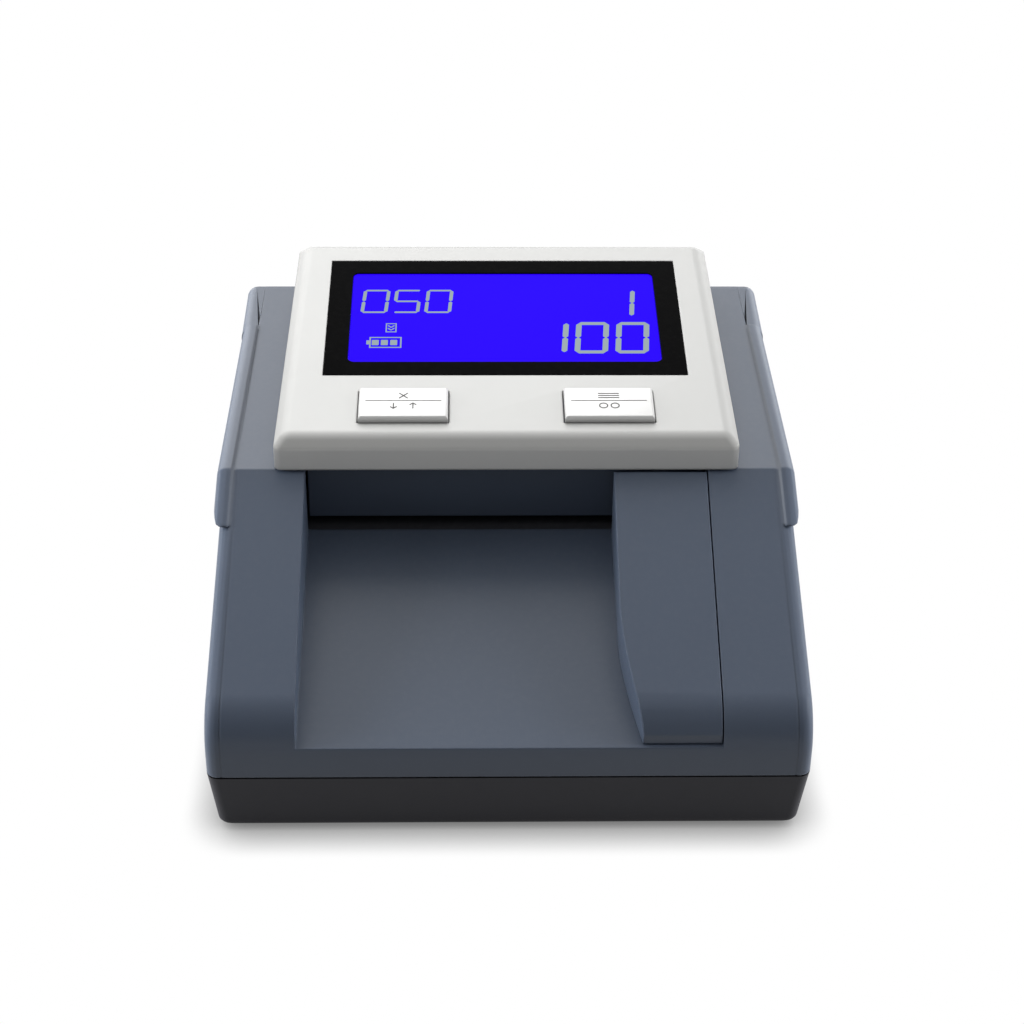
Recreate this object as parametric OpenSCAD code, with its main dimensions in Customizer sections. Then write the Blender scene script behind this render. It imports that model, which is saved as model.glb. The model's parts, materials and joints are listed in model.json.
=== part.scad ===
// Counterfeit banknote detector: a counter-top unit that draws a note up a ramp,
// past its sensors and out behind.
// Y is measured from the front face inside the modules, and the finished part is centred
// on its own footprint.

/* [Body] */
// Width of the housing over its rear corners
body_w = 129; // [126:1:150]
// How far each side stands out at the front, beyond the rear corners
front_spread = 0.1; // [0:0.1:2]
// How far each side is drawn in, just in front of the rear corners
waist = 1.8; // [0:0.1:2.5]
// Depth of the housing from front to back
body_d = 142; // [141:1:160]
// Wall thickness of the housing and the base
wall = 2.2; // [1.8:0.1:2.6]
// Height of the base below the parting line
base_h = 15; // [14:0.5:20]
// Inset of the base at its bottom
base_taper = 1.5; // [0.5:0.5:3]
// Step from the housing in to the base at the parting line
parting_step = 0.4; // [0.2:0.1:1]
// Height of the rubber feet below the base
foot_h = 1.5; // [1:0.5:4]
// Radius of the rubber feet
foot_r = 5; // [3:0.5:6]
// Height of the upright front above the parting line
front_rise = 5.2; // [3:0.1:8]
// Radius of the rolled front edge
front_r = 13; // [10:0.5:16]
// Angle of the sloping front
slope_angle = 26; // [24:0.5:28]
// Distance from the front to the front edge of the top
top_front_y = 57.7; // [56:0.5:60]
// Rise of the top surface towards the back
top_angle = 3.3; // [2:0.1:4]
// Radius of the front edge of the top
top_edge_r = 1.5; // [0.5:0.25:3]
// Radius of the back edge of the top
back_r = 5; // [3:0.5:8]
// Radius along the side edges
side_fillet = 2.5; // [2:0.5:5]

/* [Side bands] */
// How far the side bands stand proud
band_proud = 1.5; // [0.5:0.1:2]
// How far the side bands rise above the top and the slope
band_rise = 0.3; // [0.1:0.1:1]
// Width of the side bands, seen from above
band_w = 3.4; // [2:0.1:6]
// Height of the bands' lower edge above the parting line
band_low = 35; // [26:1:36]
// Distance from the front to the bands' rear end
band_end_y = 119; // [100:1:124]
// Radius of the bands' lower rear corner
band_end_r = 6; // [2:0.5:10]

/* [Note channel] */
// Width of the channel
channel_w = 90.6; // [86:0.5:92]
// Slope of the ramp
ramp_angle = 16; // [14:0.5:18]
// Depth of the ramp below the front edge of the top
recess_depth = 17.4; // [16:0.2:18]
// Gap between the lower and upper note guides
note_gap = 1.5; // [1:0.1:2]
// Width of the removable width guide
guide_w = 21.2; // [16:0.5:26]
// How far the width guide opens out at the front
guide_flare = 4.2; // [0:0.2:6]
// Length of the curved part of the width guide
guide_flare_l = 25; // [16:1:34]

/* [Console] */
// Width of the console over its skirt
console_w = 104.4; // [102:0.4:110]
// Slope of the console's panel
panel_tilt = 6.4; // [5.5:0.1:8]
// Overhang of the console past the front edge of the top
console_lip = 1; // [0.5:0.1:2]
// Height of the console's front face
console_front_h = 5.75; // [5.4:0.05:8]
// Chamfer round the panel
console_chamfer = 2.3; // [1:0.1:2.6]
// Distance from the console's back to the housing's back
console_back = 3.6; // [3:0.1:5]
// Wall thickness of the console
console_wall = 2; // [1.6:0.1:2.2]
// Radius of the console's back corners
console_back_r = 2.3; // [1:0.1:4]
// Radius of the console's front corners
console_front_r = 0.8; // [0.4:0.1:3]

/* [Display and keys] */
// Width of the black display window
window_w = 84.4; // [80:0.2:86]
// Length of the display window up the panel
window_l = 48.2; // [44:0.2:49]
// Distance from the window to the back edge of the panel
window_back = 7; // [5:0.2:8]
// Thickness of the display window
window_t = 1.2; // [0.8:0.1:1.4]
// Width of the lit display
view_w = 73.5; // [66:0.5:76]
// Length of the lit display up the panel
view_l = 37.6; // [34:0.2:40]
// Depth of the lit display below the panel
view_sink = 0.3; // [0.1:0.1:0.6]
// Width of a key
key_w = 20.3; // [16:0.1:24]
// Length of a key up the panel
key_l = 11.6; // [9:0.1:13]
// Height of a key above the panel
key_h = 1.4; // [0.8:0.1:2]
// Bevel round the top of a key
key_bevel = 0.5; // [0.2:0.1:0.8]
// Distance from the middle to the centre of a key
key_x = 23.3; // [20:0.1:26]
// Distance from the front edge of the panel to a key
key_front = 4.3; // [3:0.1:6]
// Travel of a key
key_travel = 0.8; // [0.4:0.1:0.9]

/* [Transport] */
// Radius of the drive rollers
roller_r = 8; // [7:0.1:8.5]
// Width of a drive roller
roller_w = 12; // [8:0.5:14]
// Distance from the middle to a roller
roller_x = 22; // [18:0.5:26]
// Distance from the front edge of the top to the front drive shaft
roller_setback = 14.3; // [13:0.1:15]
// Distance between the two drive shafts
roller_pitch = 50; // [48:0.5:51]
// Radius of the pinch rollers
pinch_r = 5; // [4:0.1:5.2]
// Width of a pinch roller
pinch_w = 10; // [7:0.5:12]
// Radius of the drive shafts
shaft_r = 2.5; // [2:0.1:3]
// Radius of the pinch axles
axle_r = 1.5; // [1.2:0.1:1.8]
// Radius of the drive pulleys
pulley_r = 7; // [6:0.1:7.4]
// Radius of the motor pulley
motor_pulley_r = 4; // [3.5:0.1:4.5]
// Width of the belt
belt_w = 3; // [2:0.1:3.4]
// Thickness of the belt
belt_t = 1; // [0.6:0.1:1.2]
// Radius of the motor
motor_r = 11; // [9:0.1:11.2]
// Length of the motor
motor_l = 27; // [22:0.5:32]
// Thickness of the transport's side frames
frame_t = 2; // [1.5:0.1:2.4]

/* [Power] */
// Length of the battery pack
battery_w = 68; // [60:1:70]
// Width of the battery pack
battery_d = 36.5; // [30:0.5:37]
// Height of the battery pack
battery_h = 18.5; // [14:0.5:19]
// Distance from the middle to the power inlet
jack_x = 34; // [32:0.5:36]
// Radius of the power inlet's socket
jack_r = 2.85; // [2.4:0.05:3.2]
// Distance from the middle to the power rocker
rocker_x = 36; // [35.5:0.5:40]
// Width of the power rocker
rocker_w = 10; // [8:0.2:10]
// Height of the power rocker
rocker_h = 11.2; // [9:0.2:11.4]
// Tilt of the power rocker to either side
rocker_tilt = 8; // [5:0.5:8]

/* [Fits] */
// Gap between two fixed pieces that slot together
part_gap = 0.25; // [0.15:0.05:0.35]
// Radial clearance of a shaft that turns in a bush
running_fit = 0.05; // [0.02:0.01:0.1]
// Radial clearance of a screw, or of a wheel fixed on its shaft
close_fit = 0.02; // [0.01:0.01:0.05]
// Gap between a drive roller and its pinch roller
nip_gap = 0.3; // [0.2:0.05:0.4]
// Gap between the console and the top below it
console_gap = 0.35; // [0.3:0.05:0.6]
// Radius of the case screws
screw_r = 1.5; // [1.2:0.1:1.7]
// Radius of the small screws
small_screw_r = 1; // [0.8:0.1:1.2]

/* [Hidden] */
$fn = 48;
// Beyond every face of the part, and how far a cut runs past the face that it cuts
far = 200;
over = 1;
// Steps of an arc, angle between the steps of a rounded edge, thickness of a layer inside a hull
arc_steps = 8;
fillet_step = 18;
layer_t = 0.01;
// Head of a screw, by the screw's own radius
function head_radius(r) = 1.85 * r;
function head_height(r) = 1.1 * r;

// Heights and the side profile
base_z = foot_h;
part_z = foot_h + base_h;
floor_z = base_z + wall;
half_w = body_w / 2;
base_roll = 2;
front_x = half_w + front_spread;
side_taper = atan((front_spread + waist) / band_end_y);
corner_y = band_end_y - band_proud;
rear_y = (corner_y + body_d) / 2;
function side_x(y) = front_x - y * tan(side_taper);
function shell_x(y) = y > corner_y ? half_w : side_x(y);
slope_y = front_r * (1 - sin(slope_angle));
slope_z = part_z + front_rise + front_r * cos(slope_angle);
top_front_z = slope_z + (top_front_y - slope_y) * tan(slope_angle);
function top_z(y) = top_front_z + (y - top_front_y) * tan(top_angle);
function ramp_z(y) = top_front_z - recess_depth - (top_front_y - y) * tan(ramp_angle);

// Note path
channel_x = channel_w / 2;
mouth_setback = 1.2;
mouth_y = top_front_y + mouth_setback;
well_side = 0.7;
front_axis_y = top_front_y + roller_setback;
rear_axis_y = front_axis_y + roller_pitch;
sensor_y = (front_axis_y + rear_axis_y) / 2;
path_z = ramp_z(front_axis_y - roller_r);
lower_z = path_z - note_gap / 2;
upper_z = path_z + note_gap / 2;
guide_t = 1.5;
guide_lip = 0.4;
guide_run = 4;
drive_z = path_z - nip_gap / 2 - roller_r;
pinch_z = path_z + nip_gap / 2 + pinch_r;

// Width guide
guide_setback = 0.7;
guide_back_y = top_front_y - guide_setback;
guide_straight = 31;
guide_wall = 2;
guide_bend = 1.5;
guide_steps = 8;

// Console and its hinge
console_y0 = top_front_y - console_lip;
console_y1 = body_d - console_back;
panel_y = console_y0 + console_chamfer;
panel_z = top_z(console_y0) + console_gap + console_front_h + console_chamfer;
panel_l = (console_y1 - console_y0 - 2 * console_chamfer) / cos(panel_tilt);
panel_x = console_w / 2 - console_chamfer;
function under_panel_z(y, drop) = panel_z + (y - panel_y) * tan(panel_tilt) - drop / cos(panel_tilt);
function panel_s(y, drop) = (y - panel_y - drop * sin(panel_tilt)) / cos(panel_tilt);
console_in_x = console_w / 2 - console_wall;
console_in_y0 = console_y0 + console_wall;
console_in_y1 = console_y1 - console_wall;
hinge_r = 2.2;
hinge_pin_r = 1.2;
hinge_inset = 2.4;
hinge_rise = 3.1;
hinge_w = 3;
hinge_gap = 0.4;
hinge_y = console_y1 - hinge_inset;
hinge_z = top_z(hinge_y) + hinge_rise;
skirt_lift = 2.1;
skirt_h = 14;
bracket_side = 1;
bracket_x0 = channel_x + bracket_side;
bracket_x1 = bracket_x0 + hinge_w;
lug_x1 = bracket_x0 - hinge_gap;
lug_x0 = lug_x1 - hinge_w;
key_y = key_front + key_l / 2;
key_flange = 1.1;
key_flange_t = 0.5;
key_seat = 0.2;
key_stop = 0.3;
window_y = panel_l - window_back - window_l / 2;
window_ledge = 2.2;
backlight_t = 1.8;
backlight_rim = 1.5;
switch_h = 0.8;
switch_w = 6;
plunger_r = 1.6;
plunger_h = 0.2;
board_drop = console_wall + key_seat + key_flange_t + key_travel + key_stop + switch_h;
board_t = 1.6;
board_gap = 0.2;
flange_drop = board_drop + board_t + board_gap;
flange_t = 1.2;
flange_gap = 0.3;
flange_side = 0.2;
lug_root = 0.5;
display_board_gap = 0.8;
display_board_front = 2;
display_board_back = 5;
lid_side = 0.4;
lid_x = channel_x - lid_side;
lid_wall = 2;
lid_front_gap = 0.5;
lip_y = 1.1;
lip_rise = 0.8;
lip_run = 1.5;
tail_run = 1;
tail_rise = 1.2;
lid_front_wall = 3;
lid_back_gap = 0.3;
lid_back_y = hinge_y - hinge_r - lid_back_gap;
lid_floor_z = upper_z + lid_wall;
lid_boss_r = 2.5;
lid_screw_l = 3;
lid_head_h = 0.8;
lid_screw_front = 5;
lid_screw_back = 11;
lid_screw_x = console_in_x - lid_boss_r - board_gap;
lid_screw_s = [lid_screw_front, panel_l - lid_screw_back];

// Transport frames and drive
frame_side = 1.7;
frame_setback = 4.3;
frame_reach = 3;
frame_lap = 0.6;
frame_x = channel_x + frame_side;
frame_y0 = top_front_y + frame_setback;
frame_y1 = rear_axis_y + roller_r + frame_reach;
frame_top = lower_z - guide_t + frame_lap;
bush_wall = 1.5;
bush_flange = 1;
bush_end = 0.6;
bush_r = shaft_r + bush_wall;
belt_out = 4;
belt_x = frame_x + frame_t + belt_out;
shaft_end = 2;
pulley_rim = 1.6;
pulley_side = 0.8;
belt_gap = 0.3;
motor_y = sensor_y;
bar_d = 10;
bar_h = 6.2;
bar_side = 5.3;
bar_rim = 2;
glass_gap = 0.1;
bar_x = channel_x - bar_side;
bar_z = lower_z - guide_t - bar_h;
motor_gap = 1;
motor_z = bar_z - motor_gap - motor_r;
motor_shaft_r = 1;
motor_bore_l = 12;
motor_boss_r = 3.8;
motor_screw_y = 7;
motor_screw_l = 3;
head_x0 = -18;
head_x1 = -2;
head_d = 6;
head_gap = 0.2;
rib_x = roller_x + roller_w;
// The three pulleys that the belt runs round, each as [y, z, radius]
belt_wheels = [
    [front_axis_y, drive_z, pulley_r], [rear_axis_y, drive_z, pulley_r], [motor_y, motor_z, motor_pulley_r]
];
rib_t = 2;
rib_d = 8;
rib_rise = 4;
axle_end = 1;
roller_window = 1;
spring_l = 9.5;
spring_w = 4;
spring_t = 0.4;
spring_gap = 0.3;
spring_post = 3;
spring_side = 3;
spring_x = rib_x - spring_side;
rib_root = 0.5;
lamp_pitch = 14;
lamp_r = 1.2;
lamp_h = 1;
lamp_side = 1;
lamp_window = 2;
lamp_setback = 5;
lamp_board_d = 7;
lamp_board_t = 1.2;
lamp_half = bar_x - lamp_side;
lamp_y = sensor_y + bar_d / 2 + lamp_setback;
pinch_gap = 0.3;
spring_z = pinch_z + axle_r + spring_gap;
encoder_r = 9;
encoder_t = 0.8;
encoder_slots = 12;
encoder_slot_w = 1.2;
encoder_slot_l = 1.8;
encoder_rim = 0.8;
encoder_x = frame_x + frame_t + belt_out;
frame_tab_pitch = 32;
frame_tab_w = 6;
frame_tab_t = 2;
frame_screw_l = 3.4;
frame_hole_floor = 0.6;
frame_tab_x = frame_x + frame_t + frame_tab_w / 2;
frame_tab_y = [sensor_y - frame_tab_pitch / 2, sensor_y + frame_tab_pitch / 2];

// Case screws, feet and rear cover
boss_side = 8;
boss_front = 12;
boss_back = 11;
boss_r = 4.8;
boss_top = 8;
boss_web = 2;
head_seat = 6;
boss_x = half_w - boss_side;
boss_y = [boss_front, body_d - boss_back];
head_z = part_z - head_seat;
foot_side = 19.5;
foot_end = 12;
foot_seat = 0.8;
foot_x = half_w - foot_side;
foot_y = [foot_end, body_d - foot_end];
cover_side = 10.5;
cover_h = 35.5;
cover_sink = 1.2;
cover_x = half_w - cover_side;
cover_top = part_z + cover_h;
cover_y1 = body_d - cover_sink;
cover_y0 = cover_y1 - wall;
cover_screw_side = 2.2;
cover_screw_h = 16;
cover_screw_l = 2;
cover_tab = 8;
cover_tab_t = 2.6;
cover_opening_d = 2;
cover_tab_x = cover_x - cover_screw_side;
cover_tab_z = part_z + cover_screw_h;
exit_side = 1;
exit_below = 0.7;
exit_above = 4.2;
exit_x = channel_x - exit_side;
exit_z0 = lower_z - exit_below;
exit_z1 = path_z + exit_above;

// Battery bay and main board
battery_side = 35;
battery_x = battery_side - frame_x;
lid_t = 1.8;
bay_ledge = 2.5;
bay_end_gap = 0.5;
bay_side_gap = 0.25;
bay_clear = 0.5;
bay_rim = 2;
bay_rim_h = 1.4;
bay_boss_r = 3;
bay_boss_h = 5;
cell_gap = 0.1;
cell_step = 0.3;
bay_w = battery_w + 2 * bay_end_gap + 2 * bay_ledge;
bay_d = battery_d + 2 * bay_side_gap + 2 * bay_ledge;
bay_y = frame_y0 - bay_clear - bay_rim - bay_d / 2;
bay_tab = 5;
bay_x0 = battery_x - bay_w / 2 - bay_tab;
bay_x1 = battery_x + bay_w / 2;
bay_screw_in = 3.4;
bay_screw_x = bay_x0 + bay_screw_in;
bay_head_z = base_z + head_height(small_screw_r);
board_side = 5.5;
board_lift = 5.3;
board_hole_in = 3;
board_screw_l = 5;
board_boss_r = 2.6;
board_x0 = bay_x1 + bay_rim + bay_clear;
board_x1 = half_w - board_side;
board_y0 = 19;
board_y1 = 57;
board_z = floor_z + board_lift;
board_top = board_z + board_t;
board_mid_x = (board_x0 + board_x1) / 2;
board_boss_x = [board_x0 + board_hole_in, board_x1 - board_hole_in];
board_boss_y = [board_y0 + board_hole_in, board_y1 - board_hole_in];

// Power inlet and switch
jack_rise = 6;
jack_z = part_z + jack_rise;
jack_barrel = 1.2;
jack_pin_r = 0.95;
jack_proud = 0.4;
jack_w = 9;
jack_h = 10;
jack_l = 11;
rocker_rise = 11;
rocker_sink = 1.6;
rocker_z = part_z + rocker_rise;
rocker_y = cover_y0 - rocker_sink;
rocker_back = 4;
rocker_front = 3.4;
rocker_dip = 0.8;
trunnion_r = 1;
trunnion_end = 0.1;
rocker_side_gap = 0.2;
rocker_end_gap = 0.8;
switch_wall = 1;
switch_depth = 8.4;
switch_swing = 1.6;
well_half_w = rocker_w / 2 + rocker_side_gap;
well_half_h = rocker_h / 2 + rocker_end_gap;
switch_y0 = rocker_y - switch_depth;
switch_flange = 1.2;
switch_flange_t = 0.8;

// Moves what is drawn from the front face to the middle of the footprint
module from_front() {
    translate([0, -body_d / 2, 0]) children();
}

// Stands what is drawn on the console's sloping panel, from the panel's front edge
module on_panel() {
    translate([0, panel_y, panel_z]) rotate([panel_tilt, 0, 0]) children();
}

module both_sides() {
    children();
    mirror([1, 0, 0]) children();
}

// A block between two opposite corners
module block(low, high) {
    translate(low) cube(high - low);
}

// A prism along X with its outline given as [y, z] points
module x_prism(points, x0, x1) {
    translate([x0, 0, 0]) rotate([90, 0, 90]) linear_extrude(x1 - x0) polygon(points);
}

// A round bar along X
module x_rod(r, x0, x1, y, z) {
    translate([x0, y, z]) rotate([0, 90, 0]) cylinder(r = r, h = x1 - x0);
}

// A pan-head screw that points up from z, with its head below
module screw(r, length) {
    cylinder(r = r, h = length);
    translate([0, 0, -head_height(r)]) cylinder(r = head_radius(r), h = head_height(r));
}

function arc(y, z, r, from, to) = [
    for (i = [0 : arc_steps])
        let (a = from + (to - from) * i / arc_steps)
            [y + r * cos(a), z + r * sin(a)]
];

// Where the lines of the slope and the top cross when both are moved in by d
function top_corner(d) =
    let (lean = (1 / cos(slope_angle) - 1 / cos(top_angle)) / (tan(slope_angle) - tan(top_angle)),
         y = top_front_y + d * lean)
        [y, top_z(y) - d / cos(top_angle)];

function rounded_corner(centre, r, from, to) =
    r > 0.2 ? arc(centre[0], centre[1], r, from, to) : [centre];

// Side outline of the housing, moved in by d, down to the height low
function profile(d, low) = concat(
    [[d, low]],
    arc(front_r, part_z + front_rise, front_r - d, 180, 90 + slope_angle),
    d < top_edge_r
        ? rounded_corner(top_corner(top_edge_r), top_edge_r - d, 90 + slope_angle, 90 + top_angle)
        : [top_corner(d)],
    d < back_r
        ? rounded_corner([body_d - back_r, top_z(body_d - back_r) - back_r / cos(top_angle)],
                         back_r - d, 90 + top_angle, 0)
        : [[body_d - d, top_z(body_d - d) - d / cos(top_angle)]],
    [[body_d - d, low]]
);

// Two thin slices with the outline given, standing along the tapered sides and moved in by inset
module side_slices(outline, inset) {
    both_sides() translate([front_x - inset, 0, 0]) rotate([0, 0, side_taper])
        x_prism([for (p = outline) [p[0] / cos(side_taper), p[1]]], -layer_t, 0);
}

// The housing's outside as one smooth block with tapered sides and rounded side edges,
// proud of its own sides and higher by rise
module tapered_block(proud, rise) {
    hull()
        for (t = [0 : fillet_step : 90])
            side_slices(profile(side_fillet * (1 - cos(t)) - rise, part_z),
                        side_fillet * (1 - sin(t)) - proud);
}

// The straight rear corners, which stand out beyond the tapered sides
module rear_corners() {
    intersection() {
        hull()
            for (t = [0 : fillet_step : 90])
                let (x = half_w - side_fillet * (1 - sin(t)), d = 2 * layer_t + side_fillet * (1 - cos(t)))
                    x_prism(profile(d, part_z), -x, x);
        block([-far, corner_y, 0], [far, far, far]);
    }
}

function band_zone(inset) = concat(
    [[-over, part_z + band_low + inset]],
    arc(band_end_y - band_end_r, part_z + band_low + band_end_r, band_end_r - inset, 270, 360),
    [[band_end_y - inset, far], [-over, far]]
);

module side_bands() {
    intersection() {
        difference() {
            tapered_block(band_proud, band_rise);
            hull() side_slices(profile(-over, part_z - over), band_w - band_proud);
        }
        hull() {
            x_prism(band_zone(0), -half_w, half_w);
            x_prism(band_zone(band_proud), -half_w - band_proud, half_w + band_proud);
        }
    }
}

// Everything above the ramp, as an outline that reaches back to y and is lowered by drop
function above_ramp(y, drop) = [
    [-over, ramp_z(-over) - drop], [y, ramp_z(y) - drop], [y, far], [-over, far]
];

module housing_boss(y) {
    difference() {
        union() {
            translate([boss_x, y, part_z]) cylinder(r = boss_r, h = boss_top);
            block([boss_x, y - boss_web / 2, part_z],
                  [shell_x(y) - wall / 2, y + boss_web / 2, part_z + boss_top]);
        }
        translate([boss_x, y, part_z - over]) cylinder(r = screw_r + close_fit, h = boss_top);
    }
}

module main_housing() {
    color("#4b525f") from_front() {
        difference() {
            union() {
                tapered_block(0, 0);
                rear_corners();
                side_bands();
            }
            difference() {
                union() {
                    hull() side_slices(profile(wall, part_z - over), wall);
                    intersection() {
                        x_prism(profile(wall + 2 * layer_t, part_z - over), -half_w + wall, half_w - wall);
                        block([-far, corner_y + wall, 0], [far, far, far]);
                    }
                }
                x_prism(above_ramp(mouth_y, wall / cos(ramp_angle)), -channel_x - wall, channel_x + wall);
            }
            x_prism(above_ramp(mouth_y + over, 0), -channel_x, channel_x);
            block([-channel_x - well_side, mouth_y, lower_z],
                  [channel_x + well_side, lid_back_y + over, far]);
            block([-cover_x - part_gap, cover_y0 - cover_opening_d, part_z - over],
                  [cover_x + part_gap, body_d + over, cover_top + part_gap]);
        }
        both_sides() {
            for (y = boss_y) housing_boss(y);
            difference() {
                block([cover_tab_x - cover_tab / 2, cover_y0 - cover_tab_t, cover_tab_z - cover_tab / 2],
                      [half_w - wall / 2, cover_y0, cover_tab_z + cover_tab / 2]);
                translate([cover_tab_x, cover_y0 + over, cover_tab_z]) rotate([90, 0, 0])
                    cylinder(r = small_screw_r + close_fit, h = cover_tab_t + 2 * over);
            }
        }
    }
}

function corner_arc(x, y, r, from) = [
    for (a = [from : fillet_step : from + 90])
        [x + r * cos(a), y + r * sin(a)]
];

// A rectangle across X from y0 to y1 with rounded front and back corners
function rounded_rect(x, y0, y1, front, back) = concat(
    corner_arc(x - front, y0 + front, front, 270),
    corner_arc(x - back, y1 - back, back, 0),
    corner_arc(back - x, y1 - back, back, 90),
    corner_arc(front - x, y0 + front, front, 180)
);

// Plan of the base under the tapered sides, and under the rear corners, moved in by inset
function base_front(inset) = concat(
    corner_arc(front_x - inset - side_fillet, inset + side_fillet, side_fillet, 270),
    [[side_x(rear_y) - inset, rear_y], [inset - side_x(rear_y), rear_y]],
    corner_arc(inset + side_fillet - front_x, inset + side_fillet, side_fillet, 180)
);
function base_rear(inset) =
    rounded_rect(half_w - inset, corner_y + inset, body_d - inset, side_fillet, side_fillet);

module base_layer(z, plan) {
    translate([0, 0, z]) linear_extrude(layer_t) polygon(plan);
}

// One part of the base, with its lower edge rolled
module base_block(rear) {
    hull() {
        base_layer(part_z - layer_t, rear ? base_rear(parting_step) : base_front(parting_step));
        for (a = [0 : fillet_step : 90])
            let (inset = parting_step + base_taper + base_roll * (1 - sin(a)))
                base_layer(base_z + base_roll * (1 - cos(a)), rear ? base_rear(inset) : base_front(inset));
    }
}

module base_pan() {
    inner = wall + parting_step + base_taper;
    color("#343436") from_front() {
        difference() {
            union() {
                difference() {
                    union() {
                        base_block(false);
                        base_block(true);
                    }
                    translate([0, 0, floor_z]) linear_extrude(base_h) polygon([
                        [inner - front_x, inner], [front_x - inner, inner],
                        [side_x(rear_y) - inner, rear_y], [inner - side_x(rear_y), rear_y]
                    ]);
                    block([-half_w + inner, corner_y + inner, floor_z],
                          [half_w - inner, body_d - inner, part_z + over]);
                }
                both_sides()
                    for (y = boss_y)
                        translate([boss_x, y, floor_z - over])
                            cylinder(r = boss_r, h = part_z - floor_z + over);
                for (x = board_boss_x, y = board_boss_y)
                    translate([x, y, floor_z - over])
                        cylinder(r = board_boss_r, h = board_z - floor_z + over);
                block([bay_x0 - bay_rim, bay_y - bay_d / 2 - bay_rim, floor_z - over],
                      [bay_x1 + bay_rim, bay_y + bay_d / 2 + bay_rim, floor_z + bay_rim_h]);
                translate([bay_screw_x, bay_y, floor_z - over])
                    cylinder(r = bay_boss_r, h = bay_boss_h + over);
            }
            both_sides()
                for (y = boss_y) translate([boss_x, y, 0]) {
                    cylinder(r = screw_r + close_fit, h = part_z + over);
                    cylinder(r = head_radius(screw_r) + part_gap, h = head_z);
                }
            both_sides()
                for (y = foot_y)
                    translate([foot_x, y, 0]) cylinder(r = foot_r + part_gap, h = base_z + foot_seat);
            for (x = board_boss_x, y = board_boss_y)
                translate([x, y, floor_z]) cylinder(r = small_screw_r + close_fit, h = board_z);
            block([bay_x0 - part_gap, bay_y - bay_d / 2 - part_gap, 0],
                  [bay_x1 + part_gap, bay_y + bay_d / 2 + part_gap, base_z + lid_t]);
            block([bay_x0 + bay_tab + bay_ledge, bay_y - bay_d / 2 + bay_ledge, 0],
                  [bay_x1 - bay_ledge, bay_y + bay_d / 2 - bay_ledge, floor_z + bay_rim_h + over]);
            translate([bay_screw_x, bay_y, 0])
                cylinder(r = small_screw_r + close_fit, h = floor_z + bay_boss_h - over);
            both_sides()
                for (y = frame_tab_y) translate([frame_tab_x, y, base_z + frame_hole_floor])
                    cylinder(r = small_screw_r + close_fit, h = wall);
        }
    }
}

module rear_cover() {
    color("#454c58") from_front() difference() {
        block([-cover_x, cover_y0, part_z + part_gap], [cover_x, cover_y1, cover_top]);
        block([-exit_x, cover_y0 - over, exit_z0], [exit_x, body_d, exit_z1]);
        translate([-jack_x, body_d, jack_z]) rotate([90, 0, 0])
            cylinder(r = jack_r + jack_barrel + part_gap, h = wall + cover_sink + over);
        block([rocker_x - well_half_w - switch_wall - part_gap, cover_y0 - over,
               rocker_z - well_half_h - switch_wall - part_gap],
              [rocker_x + well_half_w + switch_wall + part_gap, body_d,
               rocker_z + well_half_h + switch_wall + part_gap]);
        both_sides() translate([cover_tab_x, body_d, cover_tab_z])
            rotate([90, 0, 0]) cylinder(r = small_screw_r + close_fit, h = wall + cover_sink + over);
    }
}

module rear_cover_screws() {
    color("#8a8d90") from_front() both_sides()
        translate([cover_tab_x, cover_y1, cover_tab_z]) rotate([90, 0, 0])
            screw(small_screw_r, wall + cover_screw_l);
}

module rubber_feet() {
    color("#1c1c1e") from_front() both_sides()
        for (y = foot_y) translate([foot_x, y, 0]) cylinder(r = foot_r, h = base_z + foot_seat);
}

module case_screws() {
    color("#8a8d90") from_front() both_sides()
        for (y = boss_y)
            translate([boss_x, y, head_z]) screw(screw_r, part_z - head_z + boss_top - 2 * over);
}

module battery_cover() {
    color("#343436") from_front() difference() {
        block([bay_x0, bay_y - bay_d / 2, base_z], [bay_x1, bay_y + bay_d / 2, base_z + lid_t]);
        translate([bay_screw_x, bay_y, 0]) {
            cylinder(r = small_screw_r + close_fit, h = base_z + lid_t + over);
            cylinder(r = head_radius(small_screw_r) + part_gap, h = bay_head_z);
        }
    }
}

module battery_cover_screw() {
    color("#8a8d90") from_front()
        translate([bay_screw_x, bay_y, bay_head_z]) screw(small_screw_r, wall);
}

module battery_pack() {
    cell_r = battery_d / 4;
    color("#2c5aa0") from_front()
        translate([battery_x, bay_y, base_z + lid_t + cell_gap]) {
            for (side = [-1, 1])
                x_rod(cell_r - layer_t, -battery_w / 2, battery_w / 2, side * cell_r, battery_h - cell_r);
            block([-battery_w / 2, -cell_r, 0], [battery_w / 2, cell_r, battery_h - cell_step]);
        }
}

module main_board() {
    color("#1f5a36") from_front() difference() {
        block([board_x0, board_y0, board_z], [board_x1, board_y1, board_z + board_t]);
        for (x = board_boss_x, y = board_boss_y)
            translate([x, y, 0]) cylinder(r = small_screw_r + close_fit, h = far);
    }
}

module board_chips() {
    processor = [12, 12, 1.4];
    memory = [8, 5, 1.8];
    memory_pitch = 7;
    capacitor_r = 2.4;
    capacitor_h = 7;
    capacitor_x = 10.2;
    chip_y = board_y0 + 5;
    memory_y = chip_y + processor[1] + 4;
    color("#202226") from_front() {
        translate([board_mid_x - processor[0] / 2, chip_y, board_top]) cube(processor);
        for (i = [0, 1])
            translate([board_mid_x - memory[0] - over, memory_y + i * memory_pitch, board_top]) cube(memory);
        for (i = [0, 1])
            translate([board_mid_x + capacitor_x, chip_y + 2 + i * memory_pitch, board_top])
                cylinder(r = capacitor_r, h = capacitor_h);
    }
}

module board_screws() {
    color("#8a8d90") from_front()
        for (x = board_boss_x, y = board_boss_y)
            translate([x, y, board_top]) rotate([180, 0, 0]) screw(small_screw_r, board_screw_l);
}

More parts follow.
